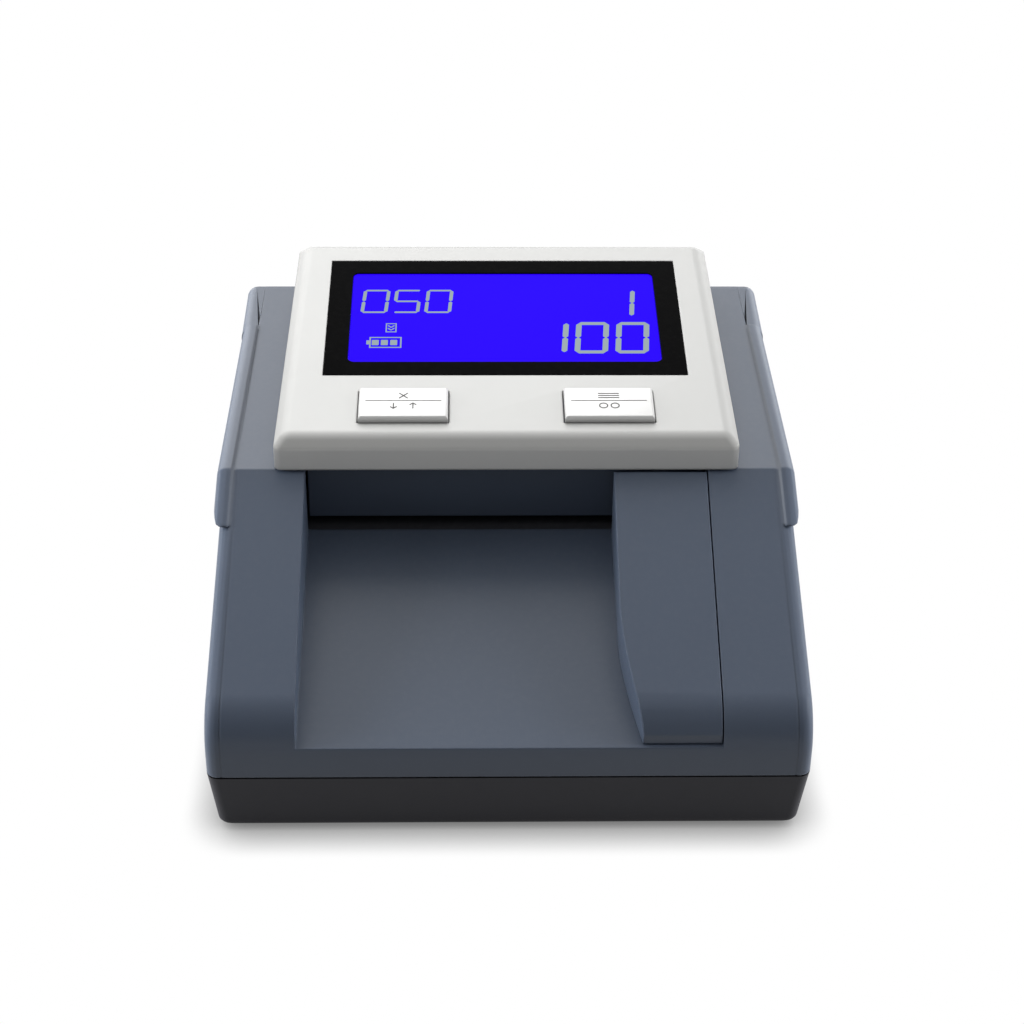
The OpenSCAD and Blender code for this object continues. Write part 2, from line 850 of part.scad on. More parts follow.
module buzzer() {
    r = 5.5;
    h = 5;
    sound_r = 1;
    sound_depth = 1.5;
    color("#18181a") from_front()
        translate([board_mid_x + 7, board_y1 - 2 * r, board_top]) difference() {
            cylinder(r = r, h = h);
            translate([0, 0, h - sound_depth]) cylinder(r = sound_r, h = sound_depth + over);
        }
}

// One side frame, drawn on the right
module side_frame() {
    difference() {
        union() {
            block([frame_x, frame_y0, floor_z], [frame_x + frame_t, frame_y1, frame_top]);
            for (y = frame_tab_y)
                block([frame_x, y - frame_tab_w / 2, floor_z],
                      [frame_tab_x + frame_tab_w / 2, y + frame_tab_w / 2, floor_z + frame_tab_t]);
        }
        for (y = [front_axis_y, rear_axis_y])
            x_rod(bush_r + close_fit, frame_x - over, frame_x + frame_t + over, y, drive_z);
        for (y = frame_tab_y)
            translate([frame_tab_x, y, 0])
                cylinder(r = small_screw_r + close_fit, h = floor_z + frame_tab_t + over);
    }
}

module left_frame() {
    color("#b4b7ba") from_front() difference() {
        mirror([1, 0, 0]) side_frame();
        x_rod(motor_boss_r + part_gap, -frame_x - frame_t - over, -frame_x + over, motor_y, motor_z);
        for (side = [-1, 1])
            x_rod(small_screw_r + close_fit, -frame_x - frame_t - over, -frame_x + over,
                  motor_y + side * motor_screw_y, motor_z);
    }
}

module right_frame() {
    color("#b4b7ba") from_front() side_frame();
}

module frame_screws() {
    color("#8a8d90") from_front() both_sides()
        for (y = frame_tab_y)
            translate([frame_tab_x, y, floor_z + frame_tab_t]) rotate([180, 0, 0])
                screw(small_screw_r, frame_screw_l);
}

module shaft_bushes() {
    color("#c9a25a") from_front() both_sides()
        for (y = [front_axis_y, rear_axis_y]) difference() {
            union() {
                x_rod(bush_r, frame_x, frame_x + frame_t + bush_end, y, drive_z);
                x_rod(bush_r + bush_flange, frame_x - bush_flange, frame_x, y, drive_z);
            }
            x_rod(shaft_r + running_fit, frame_x - bush_flange - over, frame_x + frame_t + bush_end + over,
                  y, drive_z);
        }
}

module lower_guide() {
    y0 = mouth_y + part_gap;
    y1 = cover_y0 - part_gap;
    run_y = mouth_y + guide_run;
    lip_z = ramp_z(mouth_y) - guide_lip;
    plate = [
        [y0, lip_z - guide_t], [y0, lip_z], [run_y, lower_z], [y1, lower_z],
        [y1, lower_z - guide_t], [run_y, lower_z - guide_t]
    ];
    rim = bar_rim - glass_gap;
    color("#2a2c30") from_front() difference() {
        x_prism(plate, -frame_x, frame_x);
        for (x = [-roller_x, roller_x], y = [front_axis_y, rear_axis_y])
            block([x - roller_w / 2 - roller_window, y - roller_r, lower_z - guide_t - over],
                  [x + roller_w / 2 + roller_window, y + roller_r, lower_z + over]);
        block([-bar_x + rim, sensor_y - bar_d / 2 + rim, lower_z - guide_t - over],
              [bar_x - rim, sensor_y + bar_d / 2 - rim, lower_z + over]);
        block([head_x0 - head_gap, sensor_y - bar_d / 2 - head_d - head_gap, lower_z - guide_t - over],
              [head_x1 + head_gap, sensor_y - bar_d / 2 + head_gap, lower_z + over]);
    }
}

module lower_sensor_bar() {
    color("#1e2024") from_front()
        block([-bar_x, sensor_y - bar_d / 2, bar_z], [bar_x, sensor_y + bar_d / 2, lower_z - guide_t]);
}

module lower_sensor_glass() {
    color("#9fb8c0") from_front()
        block([-bar_x + bar_rim, sensor_y - bar_d / 2 + bar_rim, lower_z - guide_t],
              [bar_x - bar_rim, sensor_y + bar_d / 2 - bar_rim, lower_z - glass_gap]);
}

module magnetic_head() {
    color("#a8a8a4") from_front()
        block([head_x0, sensor_y - bar_d / 2 - head_d, bar_z],
              [head_x1, sensor_y - bar_d / 2, lower_z + glass_gap]);
}

module drive_motor() {
    color("#9a9da0") from_front() difference() {
        union() {
            x_rod(motor_r, -frame_x, -frame_x + motor_l, motor_y, motor_z);
            x_rod(motor_boss_r, -frame_x - frame_t, -frame_x, motor_y, motor_z);
        }
        x_rod(motor_shaft_r + running_fit, -frame_x - frame_t - over, -frame_x + motor_bore_l,
              motor_y, motor_z);
        for (side = [-1, 1])
            x_rod(small_screw_r + close_fit, -frame_x - over, -frame_x + motor_screw_l + over,
                  motor_y + side * motor_screw_y, motor_z);
    }
}

module motor_screws() {
    color("#8a8d90") from_front()
        for (side = [-1, 1])
            translate([-frame_x - frame_t, motor_y + side * motor_screw_y, motor_z]) rotate([0, 90, 0])
                screw(small_screw_r, frame_t + motor_screw_l);
}

module belt_outline(gap) {
    hull()
        for (wheel = belt_wheels) translate([wheel[0], wheel[1]]) circle(r = wheel[2] + gap);
}

module drive_belt() {
    color("#161618") from_front()
        translate([-belt_x - belt_w / 2, 0, 0]) rotate([90, 0, 90]) linear_extrude(belt_w) difference() {
            belt_outline(belt_gap + belt_t);
            belt_outline(belt_gap);
        }
}

// A flanged belt pulley that is fixed on a shaft
module pulley(r, bore, y, z) {
    half = belt_w / 2 + belt_gap;
    difference() {
        union() {
            x_rod(r, -belt_x - half, -belt_x + half, y, z);
            for (x = [-belt_x - half - pulley_side, -belt_x + half])
                x_rod(r + pulley_rim, x, x + pulley_side, y, z);
        }
        x_rod(bore + close_fit, -belt_x - half - pulley_side - over,
              -belt_x + half + pulley_side + over, y, z);
    }
}

module drive_shaft(y, x1) {
    x_rod(shaft_r, -belt_x - belt_w / 2 - shaft_end, x1, y, drive_z);
}

module drive_rollers(y) {
    for (x = [-roller_x, roller_x]) difference() {
        x_rod(roller_r, x - roller_w / 2, x + roller_w / 2, y, drive_z);
        x_rod(shaft_r + close_fit, x - roller_w, x + roller_w, y, drive_z);
    }
}

module front_shaft() {
    color("#c4c7ca") from_front() drive_shaft(front_axis_y, frame_x + frame_t + shaft_end);
}

module front_rollers() {
    color("#26262a") from_front() drive_rollers(front_axis_y);
}

module front_pulley() {
    color("#d8d4c8") from_front() pulley(pulley_r, shaft_r, front_axis_y, drive_z);
}

module rear_shaft() {
    color("#c4c7ca") from_front() drive_shaft(rear_axis_y, encoder_x + shaft_end);
}

module rear_rollers() {
    color("#26262a") from_front() drive_rollers(rear_axis_y);
}

module rear_pulley() {
    color("#d8d4c8") from_front() pulley(pulley_r, shaft_r, rear_axis_y, drive_z);
}

module encoder_disc() {
    color("#303236") from_front() difference() {
        x_rod(encoder_r, encoder_x - encoder_t / 2, encoder_x + encoder_t / 2, rear_axis_y, drive_z);
        x_rod(shaft_r + close_fit, encoder_x - over, encoder_x + over, rear_axis_y, drive_z);
        for (i = [1 : encoder_slots])
            translate([encoder_x, rear_axis_y, drive_z]) rotate([360 * i / encoder_slots, 0, 0])
                block([-over, encoder_r - encoder_rim - encoder_slot_l, -encoder_slot_w / 2],
                      [over, encoder_r - encoder_rim, encoder_slot_w / 2]);
    }
}

module encoder_sensor() {
    half_d = 3.2;
    depth = 8;
    lap = 2.8;
    slot_depth = 4.4;
    slot = encoder_t / 2 + 0.5;
    arm = 2.6;
    z1 = drive_z - encoder_r + lap;
    color("#17181a") from_front() difference() {
        block([frame_x + frame_t, rear_axis_y - half_d, z1 - depth],
              [encoder_x + slot + arm, rear_axis_y + half_d, z1]);
        block([encoder_x - slot, rear_axis_y - half_d - over, z1 - slot_depth],
              [encoder_x + slot, rear_axis_y + half_d + over, z1 + over]);
    }
}

module motor_shaft() {
    color("#c4c7ca") from_front()
        x_rod(motor_shaft_r, -belt_x - belt_w / 2 - shaft_end, -frame_x + motor_bore_l - part_gap,
              motor_y, motor_z);
}

module motor_pulley() {
    color("#d8d4c8") from_front() pulley(motor_pulley_r, motor_shaft_r, motor_y, motor_z);
}

module dc_jack() {
    color("#141416") from_front() translate([-jack_x, 0, jack_z]) difference() {
        union() {
            block([-jack_w / 2, cover_y0 - jack_l, -jack_h / 2], [jack_w / 2, cover_y0, jack_h / 2]);
            translate([0, cover_y1 + jack_proud, 0]) rotate([90, 0, 0])
                cylinder(r = jack_r + jack_barrel, h = wall + jack_proud + layer_t);
        }
        translate([0, body_d, 0]) rotate([90, 0, 0]) difference() {
            cylinder(r = jack_r, h = jack_l);
            translate([0, 0, cover_sink]) cylinder(r = jack_pin_r, h = jack_l);
        }
    }
}

module switch_frame() {
    x = well_half_w + switch_wall;
    z = well_half_h + switch_wall;
    color("#141416") from_front() translate([rocker_x, 0, rocker_z]) difference() {
        union() {
            block([-x, switch_y0, -z], [x, cover_y1, z]);
            block([-x - switch_flange, cover_y1, -z - switch_flange],
                  [x + switch_flange, cover_y1 + switch_flange_t, z + switch_flange]);
        }
        block([-well_half_w, rocker_y - rocker_back - switch_swing, -well_half_h],
              [well_half_w, body_d + over, well_half_h]);
        x_rod(trunnion_r + running_fit, -x - over, x + over, rocker_y, 0);
    }
}

module power_rocker() {
    end = rocker_h / 2;
    trunnion_half = well_half_w + switch_wall - trunnion_end;
    outline = [
        [-rocker_back, -end], [rocker_front, -end], [rocker_front - rocker_dip, 0], [rocker_front, end],
        [-rocker_back, end]
    ];
    color("#202024") from_front() translate([rocker_x, rocker_y, rocker_z]) {
        rotate([rocker_tilt, 0, 0]) x_prism(outline, -rocker_w / 2, rocker_w / 2);
        x_rod(trunnion_r, -trunnion_half, trunnion_half, 0, 0);
    }
}

module hinge_brackets() {
    foot = [[hinge_y - hinge_r, top_z(hinge_y - hinge_r)], [hinge_y + hinge_r, top_z(hinge_y + hinge_r)],
            [hinge_y + hinge_r, hinge_z], [hinge_y - hinge_r, hinge_z]];
    color("#3c434e") from_front() both_sides() difference() {
        union() {
            x_prism(foot, bracket_x0, bracket_x1);
            x_rod(hinge_r, bracket_x0, bracket_x1, hinge_y, hinge_z);
        }
        x_rod(hinge_pin_r + close_fit, bracket_x0 - over, bracket_x1 + over, hinge_y, hinge_z);
    }
}

module hinge_pins() {
    color("#c4c7ca") from_front() both_sides()
        x_rod(hinge_pin_r, lug_x0 + part_gap, bracket_x1, hinge_y, hinge_z);
}

module console_layer(drop, half, y0, y1) {
    on_panel() translate([0, 0, -drop]) linear_extrude(layer_t)
        polygon(rounded_rect(half, panel_s(y0, drop), panel_s(y1, drop), console_front_r, console_back_r));
}

module console_block() {
    hull() {
        on_panel() translate([0, 0, -layer_t]) linear_extrude(layer_t)
            polygon(rounded_rect(panel_x, 0, panel_l, console_front_r, console_back_r));
        for (lower = [0, skirt_h])
            translate([0, 0, -lower]) console_layer(console_chamfer, console_w / 2, console_y0, console_y1);
    }
}

// A block on the panel, centred on X, from y0 to y1 up the panel and from low to high along its normal
module panel_block(x, half, y0, y1, low, high) {
    on_panel() block([x - half, y0, low], [x + half, y1, high]);
}

module lid_screw_holes(r, depth) {
    for (x = [-lid_screw_x, lid_screw_x], s = lid_screw_s)
        on_panel() translate([x, s, -flange_drop - flange_t - over]) cylinder(r = r, h = depth + over);
}

module console_bezel() {
    under = [[-far, top_z(-far) + console_gap], [far, top_z(far) + console_gap], [far, -far], [-far, -far]];
    inside = [
        [console_in_y0, 0], [console_in_y0, under_panel_z(console_in_y0, console_wall)],
        [console_in_y1, under_panel_z(console_in_y1, console_wall)], [console_in_y1, 0]
    ];
    edge = part_gap / 2;
    window_y0 = window_y - window_l / 2;
    window_y1 = window_y + window_l / 2;
    color("#e8e8e6") from_front() difference() {
        union() {
            difference() {
                console_block();
                x_prism(inside, -console_in_x, console_in_x);
            }
            for (x = [-lid_screw_x, lid_screw_x], s = lid_screw_s)
                on_panel() translate([x, s, -flange_drop]) cylinder(r = lid_boss_r, h = flange_drop - over);
        }
        x_prism(under, -far, far);
        block([-far, hinge_y - hinge_r - hinge_gap, 0], [far, far, top_z(hinge_y) + skirt_lift]);
        both_sides() block([lug_x0 - hinge_gap, hinge_y - hinge_r - hinge_gap, 0],
                           [bracket_x1 + hinge_gap, far, hinge_z + hinge_r + hinge_gap]);
        panel_block(0, window_w / 2 + edge, window_y0 - edge, window_y1 + edge, -window_t - glass_gap, over);
        panel_block(0, window_w / 2 - window_ledge, window_y0 + window_ledge, window_y1 - window_ledge,
                    -console_wall - over, over);
        for (x = [-key_x, key_x])
            panel_block(x, key_w / 2 + part_gap, key_front - part_gap, key_front + key_l + part_gap,
                        -console_wall - over, over);
        lid_screw_holes(small_screw_r + close_fit, flange_t + lid_screw_l + part_gap);
    }
}

module display_window() {
    color("#0c0c0e") from_front() difference() {
        panel_block(0, window_w / 2, window_y - window_l / 2, window_y + window_l / 2, -window_t, 0);
        panel_block(0, view_w / 2, window_y - view_l / 2, window_y + view_l / 2, -window_t - over, over);
    }
}

module lcd_panel() {
    color("#2200f0") from_front()
        panel_block(0, view_w / 2 - glass_gap, window_y - view_l / 2 + glass_gap,
                    window_y + view_l / 2 - glass_gap, -board_drop + backlight_t, -view_sink);
}

module backlight_plate() {
    color("#f2f2ee") from_front()
        panel_block(0, view_w / 2 + backlight_rim, window_y - view_l / 2 - backlight_rim,
                    window_y + view_l / 2 + backlight_rim, -board_drop, -board_drop + backlight_t);
}

module display_board() {
    color("#1f5a36") from_front()
        panel_block(0, lid_screw_x - lid_boss_r - display_board_gap, display_board_front,
                    panel_l - display_board_back, -board_drop - board_t, -board_drop);
}

module key_switches() {
    color("#2b2d31") from_front()
        for (x = [-key_x, key_x]) {
            panel_block(x, switch_w / 2, key_y - switch_w / 2, key_y + switch_w / 2,
                        -board_drop, -board_drop + switch_h - plunger_h);
            on_panel() translate([x, key_y, -board_drop + switch_h - plunger_h])
                cylinder(r = plunger_r, h = plunger_h);
        }
}

module key_cap(x) {
    low = -console_wall - key_seat;
    half = key_w / 2;
    side = [[-half, low], [half, low], [half, key_h - key_bevel], [half - key_bevel, key_h],
            [key_bevel - half, key_h], [-half, key_h - key_bevel]];
    end = [[0, low], [key_l, low], [key_l, key_h - key_bevel], [key_l - key_bevel, key_h],
           [key_bevel, key_h], [0, key_h - key_bevel]];
    on_panel() translate([x, key_front, 0]) {
        intersection() {
            translate([0, key_l + over, 0]) rotate([90, 0, 0]) linear_extrude(key_l + 2 * over) polygon(side);
            x_prism(end, -half - over, half + over);
        }
        block([-half - key_flange, -key_flange, low - key_flange_t],
              [half + key_flange, key_l + key_flange, low]);
    }
}

module left_key() {
    color("#dcdcda") from_front() key_cap(-key_x);
}

module right_key() {
    color("#dcdcda") from_front() key_cap(key_x);
}

// Bearing ribs of a pinch axle, with a post for its spring on the side towards the sensors
module pinch_supports(y, side) {
    both_sides() {
        difference() {
            block([rib_x, y - rib_d / 2, lid_floor_z - rib_root],
                  [rib_x + rib_t, y + rib_d / 2, pinch_z + rib_rise]);
            x_rod(axle_r + running_fit, rib_x - over, rib_x + rib_t + over, y, pinch_z);
        }
        translate([spring_x, y + side * spring_l, (lid_floor_z + spring_z) / 2])
            cube([spring_w, spring_post, spring_z - lid_floor_z], center = true);
    }
}

module upper_chassis() {
    top = flange_drop + flange_t / 2;
    rim = bar_rim - glass_gap;
    front_y = console_in_y0 + lid_front_gap;
    shell = [
        [front_y, under_panel_z(front_y, top)], [mouth_y + lip_y, upper_z + lip_rise],
        [mouth_y + lip_y + lip_run, upper_z], [lid_back_y - tail_run, upper_z],
        [lid_back_y, upper_z + tail_rise], [lid_back_y, under_panel_z(lid_back_y, top)]
    ];
    inside_y0 = mouth_y + lid_front_wall;
    inside_y1 = lid_back_y - lid_wall;
    inside = [[inside_y0, lid_floor_z], [inside_y1, lid_floor_z], [inside_y1, far], [inside_y0, far]];
    flange_y0 = panel_s(console_in_y0 + flange_gap, top);
    flange_y1 = panel_s(console_in_y1 - flange_gap, top);
    notch_y = panel_s(hinge_y - hinge_r - over, top);
    wide = console_in_x - flange_side;
    narrow = lug_x1 - flange_gap;
    flange = [
        [-wide, flange_y0], [wide, flange_y0], [wide, notch_y], [narrow, notch_y], [narrow, flange_y1],
        [-narrow, flange_y1], [-narrow, notch_y], [-wide, notch_y]
    ];
    color("#3a414c") from_front() {
        difference() {
            union() {
                x_prism(shell, -lid_x, lid_x);
                on_panel() translate([0, 0, -flange_drop - flange_t])
                    linear_extrude(flange_t) polygon(flange);
                both_sides() {
                    x_rod(hinge_r, lug_x0, lug_x1, hinge_y, hinge_z);
                    block([lug_x0, hinge_y - hinge_r, hinge_z],
                          [lug_x1, hinge_y + lug_root, under_panel_z(hinge_y - hinge_r, top)]);
                }
            }
            x_prism(inside, -lid_x + lid_wall, lid_x - lid_wall);
            both_sides() x_rod(hinge_pin_r + running_fit, 0, bracket_x1, hinge_y, hinge_z);
            lid_screw_holes(small_screw_r + close_fit, flange_t + over);
            lid_screw_holes(head_radius(small_screw_r) + part_gap, lid_head_h);
            for (x = [-roller_x, roller_x], y = [front_axis_y, rear_axis_y])
                block([x - pinch_w / 2 - roller_window, y - pinch_r - pinch_gap, upper_z - over],
                      [x + pinch_w / 2 + roller_window, y + pinch_r + pinch_gap, lid_floor_z + over]);
            block([-bar_x + rim, sensor_y - bar_d / 2 + rim, upper_z - over],
                  [bar_x - rim, sensor_y + bar_d / 2 - rim, lid_floor_z + over]);
            block([lamp_window - lamp_half, lamp_y - lamp_window, upper_z - over],
                  [lamp_half - lamp_window, lamp_y + lamp_window, lid_floor_z + over]);
        }
        pinch_supports(front_axis_y, 1);
        pinch_supports(rear_axis_y, -1);
    }
}

module upper_sensor_bar() {
    color("#1e2024") from_front()
        block([-bar_x, sensor_y - bar_d / 2, lid_floor_z],
              [bar_x, sensor_y + bar_d / 2, lid_floor_z + bar_h]);
}

module upper_sensor_glass() {
    color("#9fb8c0") from_front()
        block([-bar_x + bar_rim, sensor_y - bar_d / 2 + bar_rim, upper_z + glass_gap],
              [bar_x - bar_rim, sensor_y + bar_d / 2 - bar_rim, lid_floor_z]);
}

module uv_lamp_board() {
    color("#264f78") from_front() {
        block([-lamp_half, lamp_y - lamp_board_d / 2, lid_floor_z],
              [lamp_half, lamp_y + lamp_board_d / 2, lid_floor_z + lamp_board_t]);
        for (i = [-2 : 2])
            translate([i * lamp_pitch, lamp_y, lid_floor_z - lamp_h]) cylinder(r = lamp_r, h = lamp_h);
    }
}

module pinch_axle(y) {
    axle_half = rib_x + rib_t + axle_end;
    x_rod(axle_r, -axle_half, axle_half, y, pinch_z);
}

module pinch_rollers(y) {
    for (x = [-roller_x, roller_x]) difference() {
        x_rod(pinch_r, x - pinch_w / 2, x + pinch_w / 2, y, pinch_z);
        x_rod(axle_r + close_fit, x - pinch_w, x + pinch_w, y, pinch_z);
    }
}

module front_pinch_axle() {
    color("#c4c7ca") from_front() pinch_axle(front_axis_y);
}

module front_pinch_rollers() {
    color("#30343a") from_front() pinch_rollers(front_axis_y);
}

module rear_pinch_axle() {
    color("#c4c7ca") from_front() pinch_axle(rear_axis_y);
}

module rear_pinch_rollers() {
    color("#30343a") from_front() pinch_rollers(rear_axis_y);
}

module pinch_springs() {
    color("#b8b4a4") from_front() both_sides()
        for (spring = [[front_axis_y, 1], [rear_axis_y, -1]])
            translate([spring_x, spring[0] + spring[1] * spring_l / 2, spring_z + spring_t / 2])
                cube([spring_w, spring_l + spring_post, spring_t], center = true);
}

module lid_screws() {
    color("#8a8d90") from_front()
        for (x = [-lid_screw_x, lid_screw_x], s = lid_screw_s)
            on_panel() translate([x, s, -flange_drop - flange_t]) {
                cylinder(r = small_screw_r, h = flange_t + lid_screw_l);
                cylinder(r = head_radius(small_screw_r), h = lid_head_h);
            }
}

// Plan of the width guide's left side: straight, then opening out in a curve towards the front
function guide_edge(inset) = [
    for (i = [0 : guide_steps])
        let (t = i / guide_steps)
            [channel_x - guide_w + inset + guide_flare * pow(t, guide_bend),
             guide_back_y - guide_straight - guide_flare_l * t]
];

function guide_plan(inset) = concat(
    [[channel_x - guide_w + inset, guide_back_y - inset]],
    guide_edge(inset),
    [[channel_x - part_gap - inset, guide_back_y - guide_straight - guide_flare_l],
     [channel_x - part_gap - inset, guide_back_y - inset]]
);

module width_guide() {
    color("#4b525f") from_front() difference() {
        intersection() {
            linear_extrude(far) polygon(guide_plan(0));
            x_prism(profile(0, 0), 0, half_w);
            x_prism(above_ramp(far, -part_gap), 0, half_w);
        }
        intersection() {
            linear_extrude(far) polygon(guide_plan(guide_wall));
            x_prism(profile(guide_wall, 0), 0, half_w);
        }
    }
}

base_pan();
main_housing();
rear_cover();
rear_cover_screws();
rubber_feet();
case_screws();
battery_cover();
battery_cover_screw();
battery_pack();
main_board();
board_chips();
board_screws();
buzzer();
left_frame();
right_frame();
frame_screws();
shaft_bushes();
lower_guide();
lower_sensor_bar();
lower_sensor_glass();
magnetic_head();
drive_motor();
motor_screws();
drive_belt();
encoder_sensor();
dc_jack();
switch_frame();
power_rocker();
hinge_brackets();
hinge_pins();
front_shaft();
front_rollers();
front_pulley();
rear_shaft();
rear_rollers();
rear_pulley();
encoder_disc();
motor_shaft();
motor_pulley();
console_bezel();
display_window();
lcd_panel();
backlight_plate();
display_board();
key_switches();
left_key();
right_key();
upper_chassis();
upper_sensor_bar();
upper_sensor_glass();
uv_lamp_board();
front_pinch_axle();
front_pinch_rollers();
rear_pinch_axle();
rear_pinch_rollers();
pinch_springs();
lid_screws();
width_guide();
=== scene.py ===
"""Desk-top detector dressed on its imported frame: shells, console, display, keys, transport and studio."""
import json
import logging
import math
from collections.abc import Callable, Sequence
from dataclasses import dataclass, field
from enum import Enum

import bmesh
import bpy
from mathutils import Matrix, Vector


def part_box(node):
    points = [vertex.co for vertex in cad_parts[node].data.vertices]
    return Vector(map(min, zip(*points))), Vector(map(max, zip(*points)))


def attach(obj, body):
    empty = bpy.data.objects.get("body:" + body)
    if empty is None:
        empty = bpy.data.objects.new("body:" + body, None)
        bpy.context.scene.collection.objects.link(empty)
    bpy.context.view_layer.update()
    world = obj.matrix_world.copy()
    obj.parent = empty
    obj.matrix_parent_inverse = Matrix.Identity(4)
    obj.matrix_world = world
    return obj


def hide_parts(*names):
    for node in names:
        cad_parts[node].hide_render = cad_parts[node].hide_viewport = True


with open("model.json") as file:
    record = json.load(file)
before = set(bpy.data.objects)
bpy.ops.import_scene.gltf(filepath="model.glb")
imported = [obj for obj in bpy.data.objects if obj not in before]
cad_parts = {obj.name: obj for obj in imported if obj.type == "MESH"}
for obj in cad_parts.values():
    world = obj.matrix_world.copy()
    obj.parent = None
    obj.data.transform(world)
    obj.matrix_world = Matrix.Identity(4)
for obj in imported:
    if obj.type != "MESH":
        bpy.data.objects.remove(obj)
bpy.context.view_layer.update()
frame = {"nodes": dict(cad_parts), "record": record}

LOG = logging.getLogger("detector")
MM = 0.001
Colour = tuple[float, float, float]
Point = tuple[float, float, float]
Spot = tuple[float, float]
Piece = bpy.types.Object
Socket = bpy.types.NodeSocket
Sockets = dict[str, Socket]
Outputs = bpy.types.NodeOutputs
Edge = bmesh.types.BMEdge
WHITE = (1.0, 1.0, 1.0, 1.0)


class Body(Enum):
    """Moving bodies that pieces ride on."""

    CHASSIS = "chassis"
    LID = "lid"
    FRONT_DRIVE = "front_drive"
    REAR_DRIVE = "rear_drive"
    MOTOR_ROTOR = "motor_rotor"
    FRONT_PINCH = "front_pinch"
    REAR_PINCH = "rear_pinch"
    LEFT_KEY = "left_key"
    RIGHT_KEY = "right_key"
    POWER_ROCKER = "power_rocker"
    WIDTH_GUIDE = "width_guide"


class Bar(Enum):
    """The seven bars of a digit, as (column, row, upright)."""

    TOP = (0.0, 1.0, False)
    UPPER_RIGHT = (1.0, 0.5, True)
    LOWER_RIGHT = (1.0, -0.5, True)
    BOTTOM = (0.0, -1.0, False)
    LOWER_LEFT = (-1.0, -0.5, True)
    UPPER_LEFT = (-1.0, 0.5, True)
    MIDDLE = (0.0, 0.0, False)


BODY_OF: dict[str, Body] = {
    node: Body(name) for name, nodes in frame["record"]["behaviour"]["bodies"].items() for node in nodes
}
DIGITS: dict[str, tuple[Bar, ...]] = {
    "0": (Bar.TOP, Bar.UPPER_RIGHT, Bar.LOWER_RIGHT, Bar.BOTTOM, Bar.LOWER_LEFT, Bar.UPPER_LEFT),
    "1": (Bar.UPPER_RIGHT, Bar.LOWER_RIGHT),
    "5": (Bar.TOP, Bar.UPPER_LEFT, Bar.MIDDLE, Bar.LOWER_RIGHT, Bar.BOTTOM),
}


class NodeDesk:
    """Adds and joins shader nodes in one tree."""

    def __init__(self, tree: bpy.types.NodeTree) -> None:
        """Keep the tree that nodes are added to."""
        self.tree = tree

    @classmethod
    def clear(cls, holder: bpy.types.Material | bpy.types.World) -> "NodeDesk":
        """Open an empty desk.

        Args:
            holder: Material or world that the nodes belong to.

        Returns:
            The desk.
        """
        holder.use_nodes = True
        holder.node_tree.nodes.clear()
        return cls(holder.node_tree)

    def add(self, kind: str, values: dict | None = None, **settings: object) -> bpy.types.Node:
        """Add a node.

        Args:
            kind: Node type, such as ShaderNodeBump.
            values: Input name or number to a constant or to a socket that is linked in.
            settings: Properties set on the node before its inputs.

        Returns:
            The new node.
        """
        node = self.tree.nodes.new(kind)
        for key, value in settings.items():
            setattr(node, key, value)
        for key, value in (values or {}).items():
            if isinstance(value, Socket):
                self.tree.links.new(value, node.inputs[key])
            else:
                node.inputs[key].default_value = value
        return node

    def group(self, tree: bpy.types.NodeTree, values: dict) -> Outputs:
        """Place a shared group with its input values and give its outputs."""
        return self.add("ShaderNodeGroup", values, node_tree=tree).outputs

    def maths(self, operation: str, first: object, second: object, clamp: bool = False) -> Socket:
        """Work on two numbers or sockets, with the result held between 0 and 1 if clamp is set."""
        node = self.add("ShaderNodeMath", {0: first, 1: second}, operation=operation, use_clamp=clamp)
        return node.outputs[0]

    def plus(self, first: object, second: object, clamp: bool = False) -> Socket:
        """Add two numbers or sockets."""
        return self.maths("ADD", first, second, clamp)

    def minus(self, first: object, second: object) -> Socket:
        """Take one number or socket from another."""
        return self.maths("SUBTRACT", first, second)

    def times(self, first: object, second: object, clamp: bool = False) -> Socket:
        """Multiply two numbers or sockets."""
        return self.maths("MULTIPLY", first, second, clamp)

    def mix(self, factor: object, first: object, second: object) -> Socket:
        """Mix two colours or sockets by the share of the second."""
        return self.add("ShaderNodeMix", {0: factor, 6: first, 7: second}, data_type="RGBA").outputs[2]

    def where(self) -> Socket:
        """Give the place on the object."""
        return self.add("ShaderNodeTexCoord").outputs["Object"]

    def noise(self, scale: object, detail: float = 2.0, where: Socket | None = None) -> Socket:
        """Give noise of a scale and a detail, read on the object if no place is given."""
        values = {"Vector": where or self.where(), "Scale": scale, "Detail": detail}
        return self.add("ShaderNodeTexNoise", values).outputs["Fac"]


